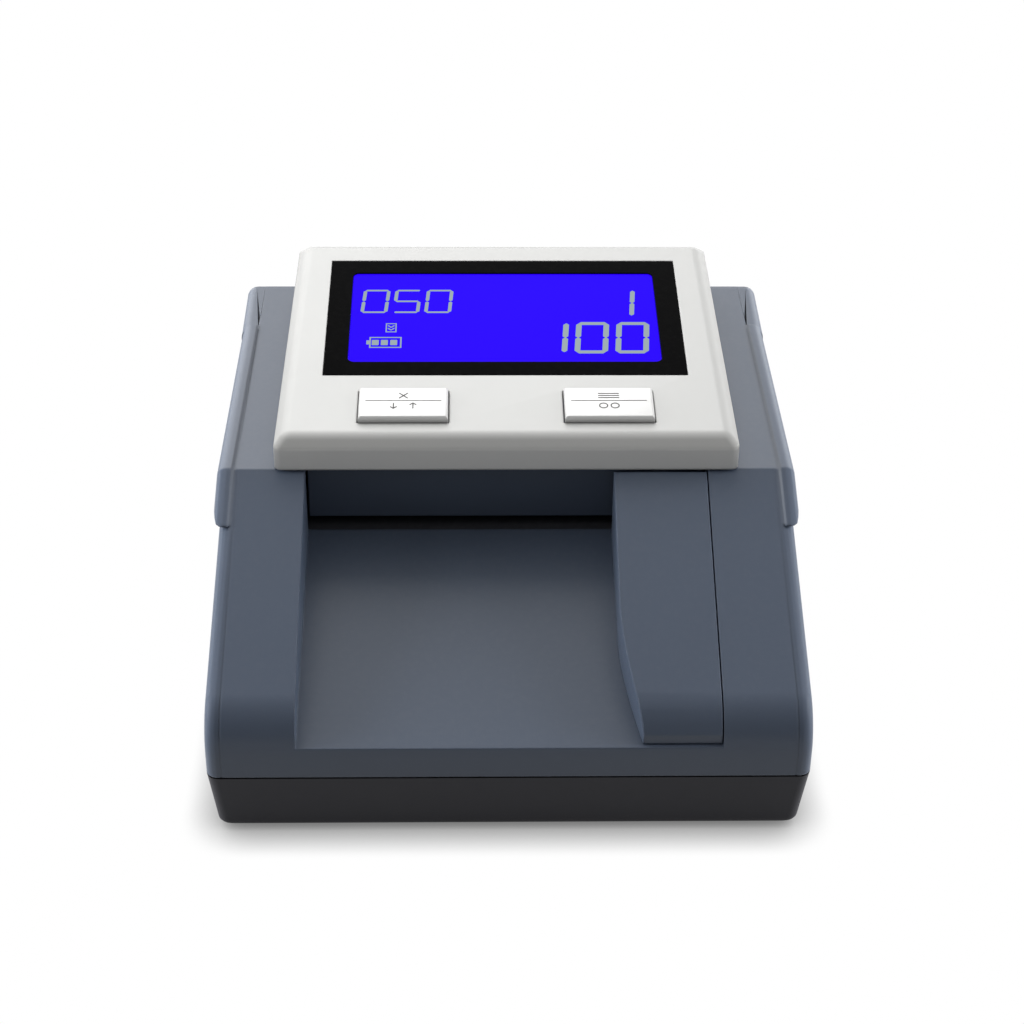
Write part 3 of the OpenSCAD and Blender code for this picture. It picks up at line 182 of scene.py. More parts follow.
class Effects:
    """Shader node groups that the finishes share, each built once."""

    socket_kinds = {"VALUE": "NodeSocketFloat", "RGBA": "NodeSocketColor", "VECTOR": "NodeSocketVector"}
    middle_grey = (0.5, 0.5, 0.5, 1.0)
    patch_scale = 0.04
    edge_contrast = 4.0
    dust_scale = 700.0
    dust_slope = (0.55, 2.2)
    dust_spots = (0.45, 4.0)
    drawn_out = (0.06, 1.0, 1.0)
    drawn_patch = 120.0

    def __init__(self) -> None:
        """Build every group."""
        tones = {"Color": self.middle_grey, "Amount": 0.08, "Scale": 45.0}
        self.grain = self._group("moulded_grain", {"Scale": 5000.0}, self._grain)
        self.drift = self._group("tone_drift", tones, self._drift)
        self.edges = self._group("soft_edges", {"Radius": 0.0004}, self._edges)
        self.dust = self._group("settled_dust", {"Amount": 0.1}, self._dust)
        self.brush = self._group("drawn_marks", {"Scale": 2500.0}, self._brush)

    def _group(self, name: str, inputs: dict[str, object],
               recipe: Callable[[NodeDesk, Outputs], Sockets]) -> bpy.types.NodeTree:
        """Make a group.

        Args:
            name: Name of the group.
            inputs: Input name to its default, a number or a colour.
            recipe: Adds the nodes and gives each output's socket by name.

        Returns:
            The group's tree.
        """
        tree = bpy.data.node_groups.new(name, "ShaderNodeTree")
        for key, default in inputs.items():
            kind = self.socket_kinds["VALUE" if isinstance(default, float) else "RGBA"]
            tree.interface.new_socket(key, in_out="INPUT", socket_type=kind).default_value = default
        desk = NodeDesk(tree)
        made = recipe(desk, desk.add("NodeGroupInput").outputs)
        for key, socket in made.items():
            tree.interface.new_socket(key, in_out="OUTPUT", socket_type=self.socket_kinds[socket.type])
        desk.add("NodeGroupOutput", made)
        return tree

    def _grain(self, desk: NodeDesk, given: Outputs) -> Sockets:
        """Fine moulded texture: a height and a coarser patch value."""
        broad = desk.times(given["Scale"], self.patch_scale)
        return {"Height": desk.noise(given["Scale"]), "Patch": desk.noise(broad, 3.0)}

    def _drift(self, desk: NodeDesk, given: Outputs) -> Sockets:
        """Slow change of tone over a surface.

        Args:
            desk: The group's desk.
            given: The group's inputs.

        Returns:
            The changed colour.
        """
        centred = desk.minus(desk.noise(given["Scale"], 3.0), 0.5)
        swing = desk.times(centred, desk.times(given["Amount"], 2.0))
        values = {"Color": given["Color"], "Value": desk.plus(swing, 1.0)}
        return {"Color": desk.add("ShaderNodeHueSaturation", values).outputs["Color"]}

    def _edges(self, desk: NodeDesk, given: Outputs) -> Sockets:
        """Rounded edges: a softened normal and a mask of the edges themselves.

        Args:
            desk: The group's desk.
            given: The group's inputs.

        Returns:
            The normal and the mask.
        """
        rounded = desk.add("ShaderNodeBevel", {"Radius": given["Radius"]}, samples=6).outputs["Normal"]
        straight = desk.add("ShaderNodeNewGeometry").outputs["Normal"]
        dot = desk.add("ShaderNodeVectorMath", {0: rounded, 1: straight}, operation="DOT_PRODUCT")
        mask = desk.times(desk.minus(1.0, dot.outputs["Value"]), self.edge_contrast, clamp=True)
        return {"Normal": rounded, "Edge": mask}

    def _dust(self, desk: NodeDesk, given: Outputs) -> Sockets:
        """Thin dust that lies on faces turned upwards.

        Args:
            desk: The group's desk.
            given: The group's inputs.

        Returns:
            The mask of the dust.
        """
        normal = desk.add("ShaderNodeNewGeometry").outputs["Normal"]
        upward = desk.add("ShaderNodeSeparateXYZ", {0: normal}).outputs["Z"]
        noise = desk.noise(self.dust_scale, 4.0)
        lying, spots = (desk.times(desk.minus(value, start), gain, clamp=True)
                        for value, (start, gain) in ((upward, self.dust_slope), (noise, self.dust_spots)))
        return {"Mask": desk.times(desk.times(lying, spots), given["Amount"])}

    def _brush(self, desk: NodeDesk, given: Outputs) -> Sockets:
        """Fine marks drawn out along X, as on turned or rolled metal."""
        drawn = desk.add("ShaderNodeMapping", {"Vector": desk.where(), "Scale": self.drawn_out}).outputs[0]
        return {"Height": desk.noise(given["Scale"], 3.0, drawn), "Patch": desk.noise(self.drawn_patch, 3.0)}


EFFECTS = Effects()
DUST_COLOUR = (0.42, 0.41, 0.39, 1.0)
# Painted highlight with a little wear along edges: how much lighter the edge colours are made.
WEAR_SHEEN_GAIN, WEAR_SHEEN_LIFT = 1.6, 0.03
BUMP_STRENGTH = 0.6


@dataclass(frozen=True)
class Finish:
    """A surface with grain, tone drift, softened edges with a painted highlight and a little wear on them,
    and a little dust.
    """

    name: str
    colour: Colour
    roughness: float
    metallic: float = 0.0
    specular: float = 0.5
    grain: float = 5000.0
    grain_depth: float = 0.00003
    drift: float = 0.05
    swing: float = 0.08
    edge: float = 0.0004
    # Share of the painted edge highlight with its little wear.
    edge_sheen_gain: float = 0.1
    dust: float = 0.02
    drawn: bool = False
    clear: float = 0.0

    def colour_socket(self, desk: NodeDesk, edge: Socket) -> Socket:
        """Base colour with drift, a painted highlight and a little wear along the edges, and dust.

        Args:
            desk: The material's desk.
            edge: Mask of the edges.

        Returns:
            The colour socket.
        """
        drift = desk.group(EFFECTS.drift, {"Color": (*self.colour, 1.0), "Amount": self.drift})["Color"]
        # Painted highlight with a little wear: the colour turns lighter along the edge mask.
        light = tuple(min(1.0, c * WEAR_SHEEN_GAIN + WEAR_SHEEN_LIFT) for c in self.colour)
        worn_sheen = desk.mix(desk.times(edge, self.edge_sheen_gain), drift, (*light, 1.0))
        return desk.mix(desk.group(EFFECTS.dust, {"Amount": self.dust})["Mask"], worn_sheen, DUST_COLOUR)

    def material(self) -> bpy.types.Material:
        """Build the material, or return the one already built.

        Returns:
            The material.
        """
        title = f"{self.name}_finish"
        if title in bpy.data.materials:
            return bpy.data.materials[title]
        made = bpy.data.materials.new(title)
        desk = NodeDesk.clear(made)
        values = {"Metallic": self.metallic, "Specular IOR Level": self.specular,
                  "Transmission Weight": self.clear}
        shader = desk.add("ShaderNodeBsdfPrincipled", values)
        self.dress(desk, shader, desk.group(EFFECTS.edges, {"Radius": self.edge}))
        desk.add("ShaderNodeOutputMaterial", {"Surface": shader.outputs[0]})
        return made

    def dress(self, desk: NodeDesk, shader: bpy.types.Node, edges: Outputs) -> None:
        """Join colour, roughness and normal to the shader.

        Args:
            desk: The material's desk.
            shader: The Principled shader.
            edges: Outputs of the soft edges group.
        """
        link = desk.tree.links.new
        link(self.colour_socket(desk, edges["Edge"]), shader.inputs["Base Color"])
        marks = desk.group(EFFECTS.brush if self.drawn else EFFECTS.grain, {"Scale": self.grain})
        swing = desk.times(desk.minus(marks["Patch"], 0.5), self.swing)
        link(desk.plus(swing, self.roughness, clamp=True), shader.inputs["Roughness"])
        bump = desk.add("ShaderNodeBump", {"Height": marks["Height"], "Distance": self.grain_depth,
                                           "Normal": edges["Normal"], "Strength": BUMP_STRENGTH})
        link(bump.outputs["Normal"], shader.inputs["Normal"])


@dataclass(frozen=True)
class LitFinish(Finish):
    """A surface that gives its own light, such as the display."""

    glow: Colour = (0.0, 0.0, 1.0)
    centre: Point = (0.0, 0.034, 0.072)
    reach: float = 0.07
    fall: float = 0.12

    def dress(self, desk: NodeDesk, shader: bpy.types.Node, edges: Outputs) -> None:
        """Add the glow, a little weaker away from the centre, to the plain dressing.

        Args:
            desk: The material's desk.
            shader: The Principled shader.
            edges: Outputs of the soft edges group.
        """
        super().dress(desk, shader, edges)
        size = 1.0 / self.reach
        local = desk.add("ShaderNodeMapping", {"Vector": desk.where(), "Scale": (size,) * 3,
                                               "Location": tuple(-c * size for c in self.centre)}).outputs[0]
        ball = desk.add("ShaderNodeTexGradient", {"Vector": local}, gradient_type="SPHERICAL").outputs["Fac"]
        dim = tuple(c * (1.0 - self.fall) for c in self.glow)
        desk.tree.links.new(desk.mix(ball, (*dim, 1.0), (*self.glow, 1.0)), shader.inputs["Emission Color"])
        shader.inputs["Emission Strength"].default_value = 1.0


@dataclass(frozen=True)
class BoardFinish(Finish):
    """Solder resist with copper tracks under it and tinned pads."""

    pad_scale: float = 320.0
    pad_size: float = 0.14
    pad_colour: Colour = (0.62, 0.6, 0.55)
    track_scale: float = 260.0
    track_gap: float = 0.05
    track_share: float = 0.5
    track_gain: float = 2.2

    def colour_socket(self, desk: NodeDesk, edge: Socket) -> Socket:
        """Base colour with lighter tracks and pads.

        Args:
            desk: The material's desk.
            edge: Mask of the edges.

        Returns:
            The colour socket.
        """
        plain = super().colour_socket(desk, edge)
        where = desk.where()
        places = {"Vector": where, "Scale": self.pad_scale}
        cells = desk.add("ShaderNodeTexVoronoi", places, distance="CHEBYCHEV")
        bricks = {"Vector": where, "Scale": self.track_scale, "Mortar Size": self.track_gap}
        lines = desk.times(desk.add("ShaderNodeTexBrick", bricks).outputs["Fac"], self.track_share)
        bright = tuple(min(1.0, c * self.track_gain) for c in self.colour)
        pads = desk.maths("LESS_THAN", cells.outputs["Distance"], self.pad_size)
        return desk.mix(pads, desk.mix(lines, plain, (*bright, 1.0)), (*self.pad_colour, 1.0))


HOUSING = Finish("housing_blue_grey", (0.046, 0.060, 0.088), 0.38, specular=0.40, edge=0.0005, grain=6500.0,
                 drift=0.025, swing=0.04, dust=0.012)
BASE = Finish("base_charcoal", (0.020, 0.020, 0.025), 0.5, specular=0.22, edge=0.0005, grain=6500.0,
              drift=0.03, swing=0.05, dust=0.012)
SILVER = Finish("console_silver", (0.40, 0.40, 0.393), 0.55, metallic=0.85, edge=0.0006, grain=9000.0,
                grain_depth=0.00001, drift=0.015, swing=0.03, dust=0.01)
KEY = Finish("key_silver", (0.52, 0.52, 0.515), 0.50, metallic=0.85, edge=0.0003, grain=9000.0,
             grain_depth=0.00001, drift=0.015, swing=0.03, dust=0.01)
GLOSS = Finish("window_gloss", (0.0006, 0.0006, 0.0007), 0.16, specular=0.005, edge=0.0002, grain=300.0,
               grain_depth=0.000004, dust=0.002)
INK = Finish("mark_grey", (0.085, 0.082, 0.080), 0.6, specular=0.2, edge=0.00002, grain=9000.0, dust=0.0)
PALE_INK = Finish("mark_white", (0.62, 0.62, 0.60), 0.6, specular=0.2, edge=0.00002, grain=9000.0, dust=0.0)
LCD = LitFinish("display_blue", (0.002, 0.0, 0.02), 0.3, specular=0.005, grain=3000.0, grain_depth=0.000002,
                edge=0.0001, dust=0.0, glow=(0.022, 0.0, 1.0), fall=0.06)
SEGMENT = LitFinish("display_segment", (0.02, 0.025, 0.027), 0.6, specular=0.02, edge=0.00002, dust=0.0,
                    glow=(0.315, 0.385, 0.41), fall=0.08)
BACKLIGHT = Finish("diffuser_white", (0.82, 0.82, 0.8), 0.55)
GUIDE = Finish("transport_black", (0.022, 0.023, 0.027), 0.32, edge=0.0005)
SWITCH = Finish("switch_black", (0.012, 0.012, 0.013), 0.28, grain=4000.0)
RUBBER = Finish("rubber_black", (0.022, 0.022, 0.023), 0.8, specular=0.25, grain=3500.0, grain_depth=0.00006)
STEEL = Finish("plain_steel", (0.56, 0.57, 0.58), 0.3, metallic=1.0, edge=0.0002, grain=3000.0,
               grain_depth=0.000008, drawn=True)
ZINC = Finish("zinc_sheet", (0.50, 0.51, 0.52), 0.38, metallic=1.0, edge=0.0002, grain=1500.0,
              grain_depth=0.000012, drawn=True, drift=0.12)
BRONZE = Finish("sintered_bronze", (0.60, 0.42, 0.18), 0.42, metallic=1.0, edge=0.0002, grain=4000.0)
CHIP = Finish("moulded_black", (0.014, 0.014, 0.016), 0.45, edge=0.0002)
ACETAL = Finish("natural_acetal", (0.70, 0.67, 0.58), 0.4, edge=0.0002)
WRAP = Finish("shrink_wrap", (0.03, 0.12, 0.35), 0.22, edge=0.0006, grain=250.0, grain_depth=0.00015)
BOARD = BoardFinish("circuit_green", (0.014, 0.12, 0.045), 0.32, edge=0.0001, grain=2500.0)
LAMP_BOARD = BoardFinish("circuit_blue", (0.02, 0.08, 0.18), 0.32, edge=0.0001, grain=2500.0)
GLASS = Finish("sensor_glass", (0.75, 0.86, 0.9), 0.06, edge=0.0002, grain=300.0, grain_depth=0.000003,
               clear=0.85)


class Bench:
    """Modelling helpers that work through operators on one object at a time."""

    merge_distance = 0.002
    flat_angle = 0.4

    @staticmethod
    def clear() -> None:
        """Leave edit mode and select nothing."""
        if bpy.context.object is not None and bpy.context.object.mode != "OBJECT":
            bpy.ops.object.mode_set(mode="OBJECT")
        bpy.ops.object.select_all(action="DESELECT")

    @classmethod
    def take(cls, piece: Piece) -> None:
        """Select only this piece and make it active.

        Args:
            piece: The piece.
        """
        cls.clear()
        piece.select_set(True)
        bpy.context.view_layer.objects.active = piece

    @classmethod
    def edit(cls, piece: Piece, mode: str = "EDGE", choice: str = "DESELECT") -> bmesh.types.BMesh:
        """Enter edit mode.

        Args:
            piece: The piece to edit.
            mode: VERT, EDGE or FACE.
            choice: SELECT for all of it or DESELECT for nothing.

        Returns:
            The edit mesh.
        """
        cls.take(piece)
        bpy.ops.object.mode_set(mode="EDIT")
        bpy.ops.mesh.select_mode(type=mode)
        bpy.ops.mesh.select_all(action=choice)
        return bmesh.from_edit_mesh(piece.data)

    @classmethod
    def pick_faces(cls, piece: Piece, pick: Callable[[bmesh.types.BMFace], bool]) -> None:
        """Enter edit mode with the faces selected that a test picks.

        Args:
            piece: The piece to edit.
            pick: Test of one face.
        """
        for face in cls.edit(piece, "FACE").faces:
            face.select = pick(face)
        bmesh.update_edit_mesh(piece.data)

    @staticmethod
    def leave(piece: Piece) -> None:
        """Write the edit mesh back and leave edit mode."""
        bmesh.update_edit_mesh(piece.data)
        bpy.ops.object.mode_set(mode="OBJECT")

    @classmethod
    def copy_node(cls, node: str, name: str) -> Piece:
        """Copy a CAD node's mesh into a new object, merged and with flat faces joined.

        Args:
            node: Name of the CAD node.
            name: Name of the new piece.

        Returns:
            The new piece.
        """
        piece = bpy.data.objects.new(name, frame["nodes"][node].data.copy())
        bpy.context.scene.collection.objects.link(piece)
        piece.data.materials.clear()
        cls.edit(piece, "VERT", "SELECT")
        bpy.ops.mesh.remove_doubles(threshold=cls.merge_distance * MM)
        bpy.ops.mesh.dissolve_limited(angle_limit=math.radians(cls.flat_angle))
        bpy.ops.object.mode_set(mode="OBJECT")
        return piece

    @classmethod
    def round_edges(cls, piece: Piece, width: float, steps: int, pick: Callable[[Edge], bool],
                    clamp: bool = True) -> None:
        """Bevel the edges that a test picks.

        Args:
            piece: The piece to change.
            width: Width of the bevel in millimetres.
            steps: Segments of the bevel.
            pick: Test of one edge.
            clamp: Whether the bevel stops where it would overlap.
        """
        mesh = cls.edit(piece)
        picked = [edge for edge in mesh.edges if len(edge.link_faces) == 2 and pick(edge)]
        for edge in picked:
            edge.select = True
        mesh.select_flush_mode()
        bmesh.update_edit_mesh(piece.data)
        LOG.info("%s has %d edges to round", piece.name, len(picked))
        if picked:
            bpy.ops.mesh.bevel(offset=width * MM, segments=steps, affect="EDGES", clamp_overlap=clamp)
        cls.leave(piece)

    @staticmethod
    def climbs(height: float) -> Callable[[Edge], bool]:
        """Make a test of edges that climb by more than half a height in millimetres."""
        return lambda edge: abs(edge.verts[0].co.z - edge.verts[1].co.z) > 0.5 * height * MM

    @classmethod
    def modify(cls, piece: Piece, kind: str, **settings: object) -> None:
        """Add a modifier to a piece and apply it.

        Args:
            piece: The piece to change.
            kind: Type of the modifier.
            settings: Properties set on it.
        """
        cls.take(piece)
        modifier = piece.modifiers.new(kind.lower(), kind)
        for key, value in settings.items():
            setattr(modifier, key, value)
        bpy.ops.object.modifier_apply(modifier=modifier.name)

    @classmethod
    def join(cls, pieces: Sequence[Piece], name: str) -> Piece:
        """Join pieces into one.

        Args:
            pieces: Pieces to join; the first one stays.
            name: Name of the joined piece.

        Returns:
            The joined piece.
        """
        cls.take(pieces[0])
        for piece in pieces:
            piece.select_set(True)
        if len(pieces) > 1:
            bpy.ops.object.join()
        pieces[0].name = name
        return pieces[0]

    @classmethod
    def cut(cls, piece: Piece, tool: Piece, operation: str = "DIFFERENCE") -> None:
        """Cut a tool out of a piece, or trim the piece with it, and delete the tool."""
        cls.modify(piece, "BOOLEAN", operation=operation, solver="EXACT", object=tool)
        bpy.data.objects.remove(tool)

    @classmethod
    def block(cls, size: Point, place: Matrix) -> Piece:
        """Plain block that is cut, bevelled or joined later.

        Args:
            size: Length along X, Y and Z in millimetres.
            place: Matrix from the origin to its place.

        Returns:
            The block.
        """
        cls.clear()
        bpy.ops.mesh.primitive_cube_add(size=1.0)
        piece = bpy.context.object
        piece.data.transform(place @ Matrix.Diagonal((*(c * MM for c in size), 1.0)))
        return piece

    @classmethod
    def fit(cls, piece: Piece, angle: float, finish: Finish, body: Body, slot: str, *nodes: str,
            weigh: bool = False) -> None:
        """Shade and dress a piece, let it ride and hide the CAD nodes that it replaces.

        Args:
            piece: The piece.
            angle: Faces that meet below this angle in degrees are shaded as one.
            finish: Its finish.
            body: The body that it rides on.
            slot: The record's material slot; not used.
            nodes: CAD nodes that it replaces.
            weigh: Whether large faces keep their own normals next to narrow ones.
        """
        cls.take(piece)
        bpy.ops.object.shade_smooth_by_angle(angle=math.radians(angle))
        if weigh:
            cls.modify(piece, "WEIGHTED_NORMAL", keep_sharp=True)
        piece.data.materials.clear()
        piece.data.materials.append(finish.material())
        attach(piece, body.value)
        if nodes:
            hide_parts(*nodes)
        LOG.info("%s rides on %s", piece.name, body.value)


@dataclass
class Panel:
    """The console's sloping panel, with places on it in millimetres."""

    origin: Point = (0.0, -12.0, 66.3078)
    tilt: float = 6.4

    def matrix(self, x: float, along: float, lift: float) -> Matrix:
        """Place on the panel.

        Args:
            x: Distance to the right of the middle.
            along: Distance from the front edge of the panel.
            lift: Height above the panel.

        Returns:
            The matrix from a piece lying flat at the origin to that place.
        """
        turn = Matrix.Rotation(math.radians(self.tilt), 4, "X")
        spot = Matrix.Translation(Vector((x, along, lift)) * MM)
        return Matrix.Translation(Vector(self.origin) * MM) @ turn @ spot


PANEL = Panel()


@dataclass
class Plain:
    """CAD nodes that keep their shape: merged, shaded smooth and dressed."""

    finish: Finish
    slot: str
    nodes: str
    angle: float = 32.0

    def build(self) -> None:
        """Make a smooth copy of each node in its place."""
        for node in self.nodes.split():
            piece = Bench.copy_node(node, f"{node}_shell")
            Bench.fit(piece, self.angle, self.finish, BODY_OF[node], self.slot, node, weigh=True)


@dataclass
class Shells:
    """Housing and base, with a fine groove where they meet and soft steps beside the side bands."""

    seam: float = 16.5
    seam_reach: float = 0.1
    seam_level: float = 0.9
    seam_upright: float = 0.4
    groove: float = 0.25
    flush: float = 0.35
    wall_zone: float = 6.0
    band_inside: Spot = (57.0, 63.0)
    band_low: float = 45.0
    band_step: float = 40.0
    band_across: float = 0.3
    run_out: float = 1.0
    line_at: float = 61.2
    line_lean: float = 0.016
    line_width: float = 0.3
    line_shares: tuple[float, ...] = (-1.0, -0.3, 0.3, 1.0)
    line_depth: float = 0.12
    line_top: float = 51.0
    line_facing: Spot = (0.3, -0.6)
    angle: float = 24.0

    def build(self) -> None:
        """Copy both shells and ease their edges at the seam."""
        for node, finish, slot in (("main_housing", HOUSING, "housing_plastic"),
                                   ("base_pan", BASE, "base_plastic")):
            piece = Bench.copy_node(node, f"{node}_shell")
            Bench.round_edges(piece, self.groove, 2, self._at_seam, False)
            if node == "base_pan":
                self._fill_out(piece)
            else:
                self._soften_bands(piece)
                self._score_lines(piece)
            Bench.fit(piece, self.angle, finish, Body.CHASSIS, slot, node, weigh=True)

    def _fill_out(self, piece: Piece) -> None:
        """Bring the base's outer walls out to the housing's.

        Args:
            piece: The base.
        """
        low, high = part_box("base_pan")
        for vertex in piece.data.vertices:
            for axis in (0, 1):
                reach = min(high[axis] - vertex.co[axis], vertex.co[axis] - low[axis])
                if reach < self.wall_zone * MM:
                    vertex.co[axis] += math.copysign(self.flush * MM, vertex.co[axis])

    def _soften_bands(self, piece: Piece) -> None:
        """Let the step beside each side band run out over the housing.

        Args:
            piece: The housing.
        """
        low, high = (limit * MM for limit in self.band_inside)
        feet = set()
        for edge in Bench.edit(piece).edges:
            hollow = edge.calc_face_angle_signed(0.0) if len(edge.link_faces) == 2 else 0.0
            inside = all(low < abs(v.co.x) < high and v.co.z > self.band_low * MM for v in edge.verts)
            run = (edge.verts[0].co - edge.verts[1].co).normalized()
            if hollow < -math.radians(self.band_step) and inside and abs(run.x) < self.band_across:
                feet.update(edge.verts)
        for vertex in feet:
            vertex.co.x -= math.copysign(self.run_out * MM, vertex.co.x)
        LOG.info("%s has %d points beside its bands", piece.name, len(feet))
        Bench.leave(piece)

    def _score_lines(self, piece: Piece) -> None:
        """Press a fine mould line into the slope beside each side edge.

        Args:
            piece: The housing.
        """
        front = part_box("main_housing")[0][1]
        for side in (-1.0, 1.0):
            facing = Vector((side, self.line_lean, 0.0)).normalized()
            middle = Vector((side * self.line_at * MM, front, 0.0))
            for share in self.line_shares:
                Bench.edit(piece, choice="SELECT")
                shift = facing * (share * self.line_width * MM)
                bpy.ops.mesh.bisect(plane_co=middle + shift, plane_no=facing)
                bpy.ops.object.mode_set(mode="OBJECT")
            for vertex in Bench.edit(piece, "VERT").verts:
                near = abs((vertex.co - middle).dot(facing)) < 0.5 * self.line_width * MM
                outside = vertex.normal.z > self.line_facing[0] or vertex.normal.y < self.line_facing[1]
                if near and outside and vertex.co.z < self.line_top * MM:
                    vertex.co -= vertex.normal * (self.line_depth * MM)
            Bench.leave(piece)

    def _at_seam(self, edge: Edge) -> bool:
        """Tell whether an edge runs round the outside at the seam.

        Args:
            edge: The edge.

        Returns:
            True at the seam.
        """
        if any(abs(vertex.co.z - self.seam * MM) > self.seam_reach * MM for vertex in edge.verts):
            return False
        level, wall = sorted(edge.link_faces, key=lambda face: -abs(face.normal.z))
        middle = (edge.verts[0].co + edge.verts[1].co) / 2
        outward = wall.normal.x * middle.x + wall.normal.y * middle.y > 0.0
        return abs(level.normal.z) > self.seam_level and abs(wall.normal.z) < self.seam_upright and outward


@dataclass
class GuideInsert:
    """Removable width guide with eased edges."""

    ease: float = 0.22
    upper: float = 0.3
    corner: float = math.radians(60.0)
    angle: float = 30.0

    def build(self) -> None:
        """Copy the guide and ease its upper edges."""
        piece = Bench.copy_node("width_guide", "width_guide_shell")
        Bench.round_edges(piece, self.ease, 3, self._upper_edge, False)
        Bench.fit(piece, self.angle, HOUSING, Body.WIDTH_GUIDE, "housing_plastic", "width_guide", weigh=True)

    def _upper_edge(self, edge: Edge) -> bool:
        """Tell whether an edge lies between an upper face and an upright one."""
        rises = sorted(face.normal.z for face in edge.link_faces)
        return rises[1] > self.upper > abs(rises[0]) and edge.calc_face_angle_signed(0.0) > self.corner


@dataclass
class Console:
    """Silver console with its window plate and keys."""

    crease: float = 1.5
    corner: float = 1.6
    brim: float = 0.4
    brim_rise: Spot = (0.5, math.cos(math.radians(40.0)) + 0.1)
    upright: float = 0.1
    panel_rise: float = 0.98
    stub: float = 2.0
    chamfer: float = 2.3
    trim: float = 0.02
    back_taper: float = 1.3
    panel_length: float = 77.5835
    window_size: Spot = (84.4, 48.2)
    window_corner: float = 0.4
    window_along: float = 46.4835
    window_t: float = 1.2
    view_size: Spot = (73.5, 37.6)
    view_corner: float = 1.7
    key_edge: float = 0.15
    key_turn: float = math.radians(20.0)
    angle: float = 35.0
    window_angle: float = 30.0
    key_angle: float = 40.0

    def build(self) -> None:
        """Build the bezel, the window plate and the keys."""
        self._bezel()
        self._window()
        for body in (Body.LEFT_KEY, Body.RIGHT_KEY):
            self._key(body)

    def _bezel(self) -> None:
        """Copy the bezel and trim its outside with a softer form."""
        piece = Bench.copy_node("console_bezel", "console_shell")
        Bench.cut(piece, self._soft_form(), "INTERSECT")
        Bench.fit(piece, self.angle, SILVER, Body.LID, "silver_plastic", "console_bezel", weigh=True)

    def _soft_form(self) -> Piece:
        """Block with the console's chamfer, rounded at its creases and drawn in towards the back.

        Returns:
            The form.
        """
        piece = Bench.block((self.stub,) * 3, Matrix())
        Bench.pick_faces(piece, lambda face: face.normal.z > 0.5)
        bpy.ops.mesh.extrude_region_move(TRANSFORM_OT_translate={"value": (0.0, 0.0, self.stub * MM)})
        Bench.leave(piece)
        for vertex in piece.data.vertices:
            vertex.co = self._form_corner(vertex.co)
        roundings = (
            (self.corner, 6, lambda e: abs((e.verts[0].co - e.verts[1].co).normalized().z) > 0.5),
            (self.crease, 6, lambda e: max(face.normal.z for face in e.link_faces) > self.panel_rise),
            (self.brim, 3, self._at_brim),
        )
        for width, steps, pick in roundings:
            Bench.round_edges(piece, width, steps, pick, False)
        return piece

    def _at_brim(self, edge: Edge) -> bool:
        """Tell whether an edge lies between the chamfer and an upright side."""
        rises = [face.normal.z for face in edge.link_faces]
        return min(map(abs, rises)) < self.upright and self.brim_rise[0] < max(rises) < self.brim_rise[1]

    def _form_corner(self, raw: Vector) -> Vector:
        """Place one corner of the soft form.

        Args:
            raw: The corner as extruded: below, at the brim or on the panel.

        Returns:
            Its place.
        """
        low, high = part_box("console_bezel")
        is_back = raw.y > 0.0
        half = high[0] / MM - self.trim - (self.back_taper if is_back else 0.0)
        side = math.copysign(1.0, raw.x)
        if raw.z > self.stub * MM:
            along = self.panel_length if is_back else 0.0
            return PANEL.matrix(side * (half - self.chamfer), along, -self.trim).translation
        y = high[1] / MM - self.trim if is_back else low[1] / MM + self.trim
        tilt = math.radians(PANEL.tilt)
        along = (y - PANEL.origin[1] - self.chamfer * math.sin(tilt)) / math.cos(tilt)
        brim = PANEL.matrix(side * half, along, -self.chamfer).translation
        return brim if raw.z > 0.0 else Vector((brim.x, brim.y, low[2] - MM))

    def _plate(self, size: Spot, corner: float, low: float, high: float) -> Piece:
        """Flat plate with rounded corners on the panel at the window's place.

        Args:
            size: Width and length.
            corner: Corner radius.
            low: Height of its underside above the panel.
            high: Height of its top above the panel.

        Returns:
            The plate.
        """
        piece = Bench.block((*size, high - low), Matrix())
        Bench.round_edges(piece, corner, 8, Bench.climbs(high - low))
        piece.data.transform(PANEL.matrix(0.0, self.window_along, (low + high) / 2))
        return piece

    def _window(self) -> None:
        """Black gloss plate with the rounded view cut through it."""
        piece = self._plate(self.window_size, self.window_corner, -self.window_t, 0.0)
        Bench.cut(piece, self._plate(self.view_size, self.view_corner, -self.window_t - 1.0, 1.0))
        piece.name = "window_plate"
        Bench.fit(piece, self.window_angle, GLOSS, Body.LID, "window_gloss", "display_window")

    def _key(self, body: Body) -> None:
        """One key with softened edges.

        Args:
            body: The key's body, which has its node's name.
        """
        piece = Bench.copy_node(body.value, f"{body.value}_cap")
        Bench.round_edges(piece, self.key_edge, 3, lambda e: e.calc_face_angle(0.0) > self.key_turn)
        Bench.fit(piece, self.key_angle, KEY, body, "key_plastic", body.value)


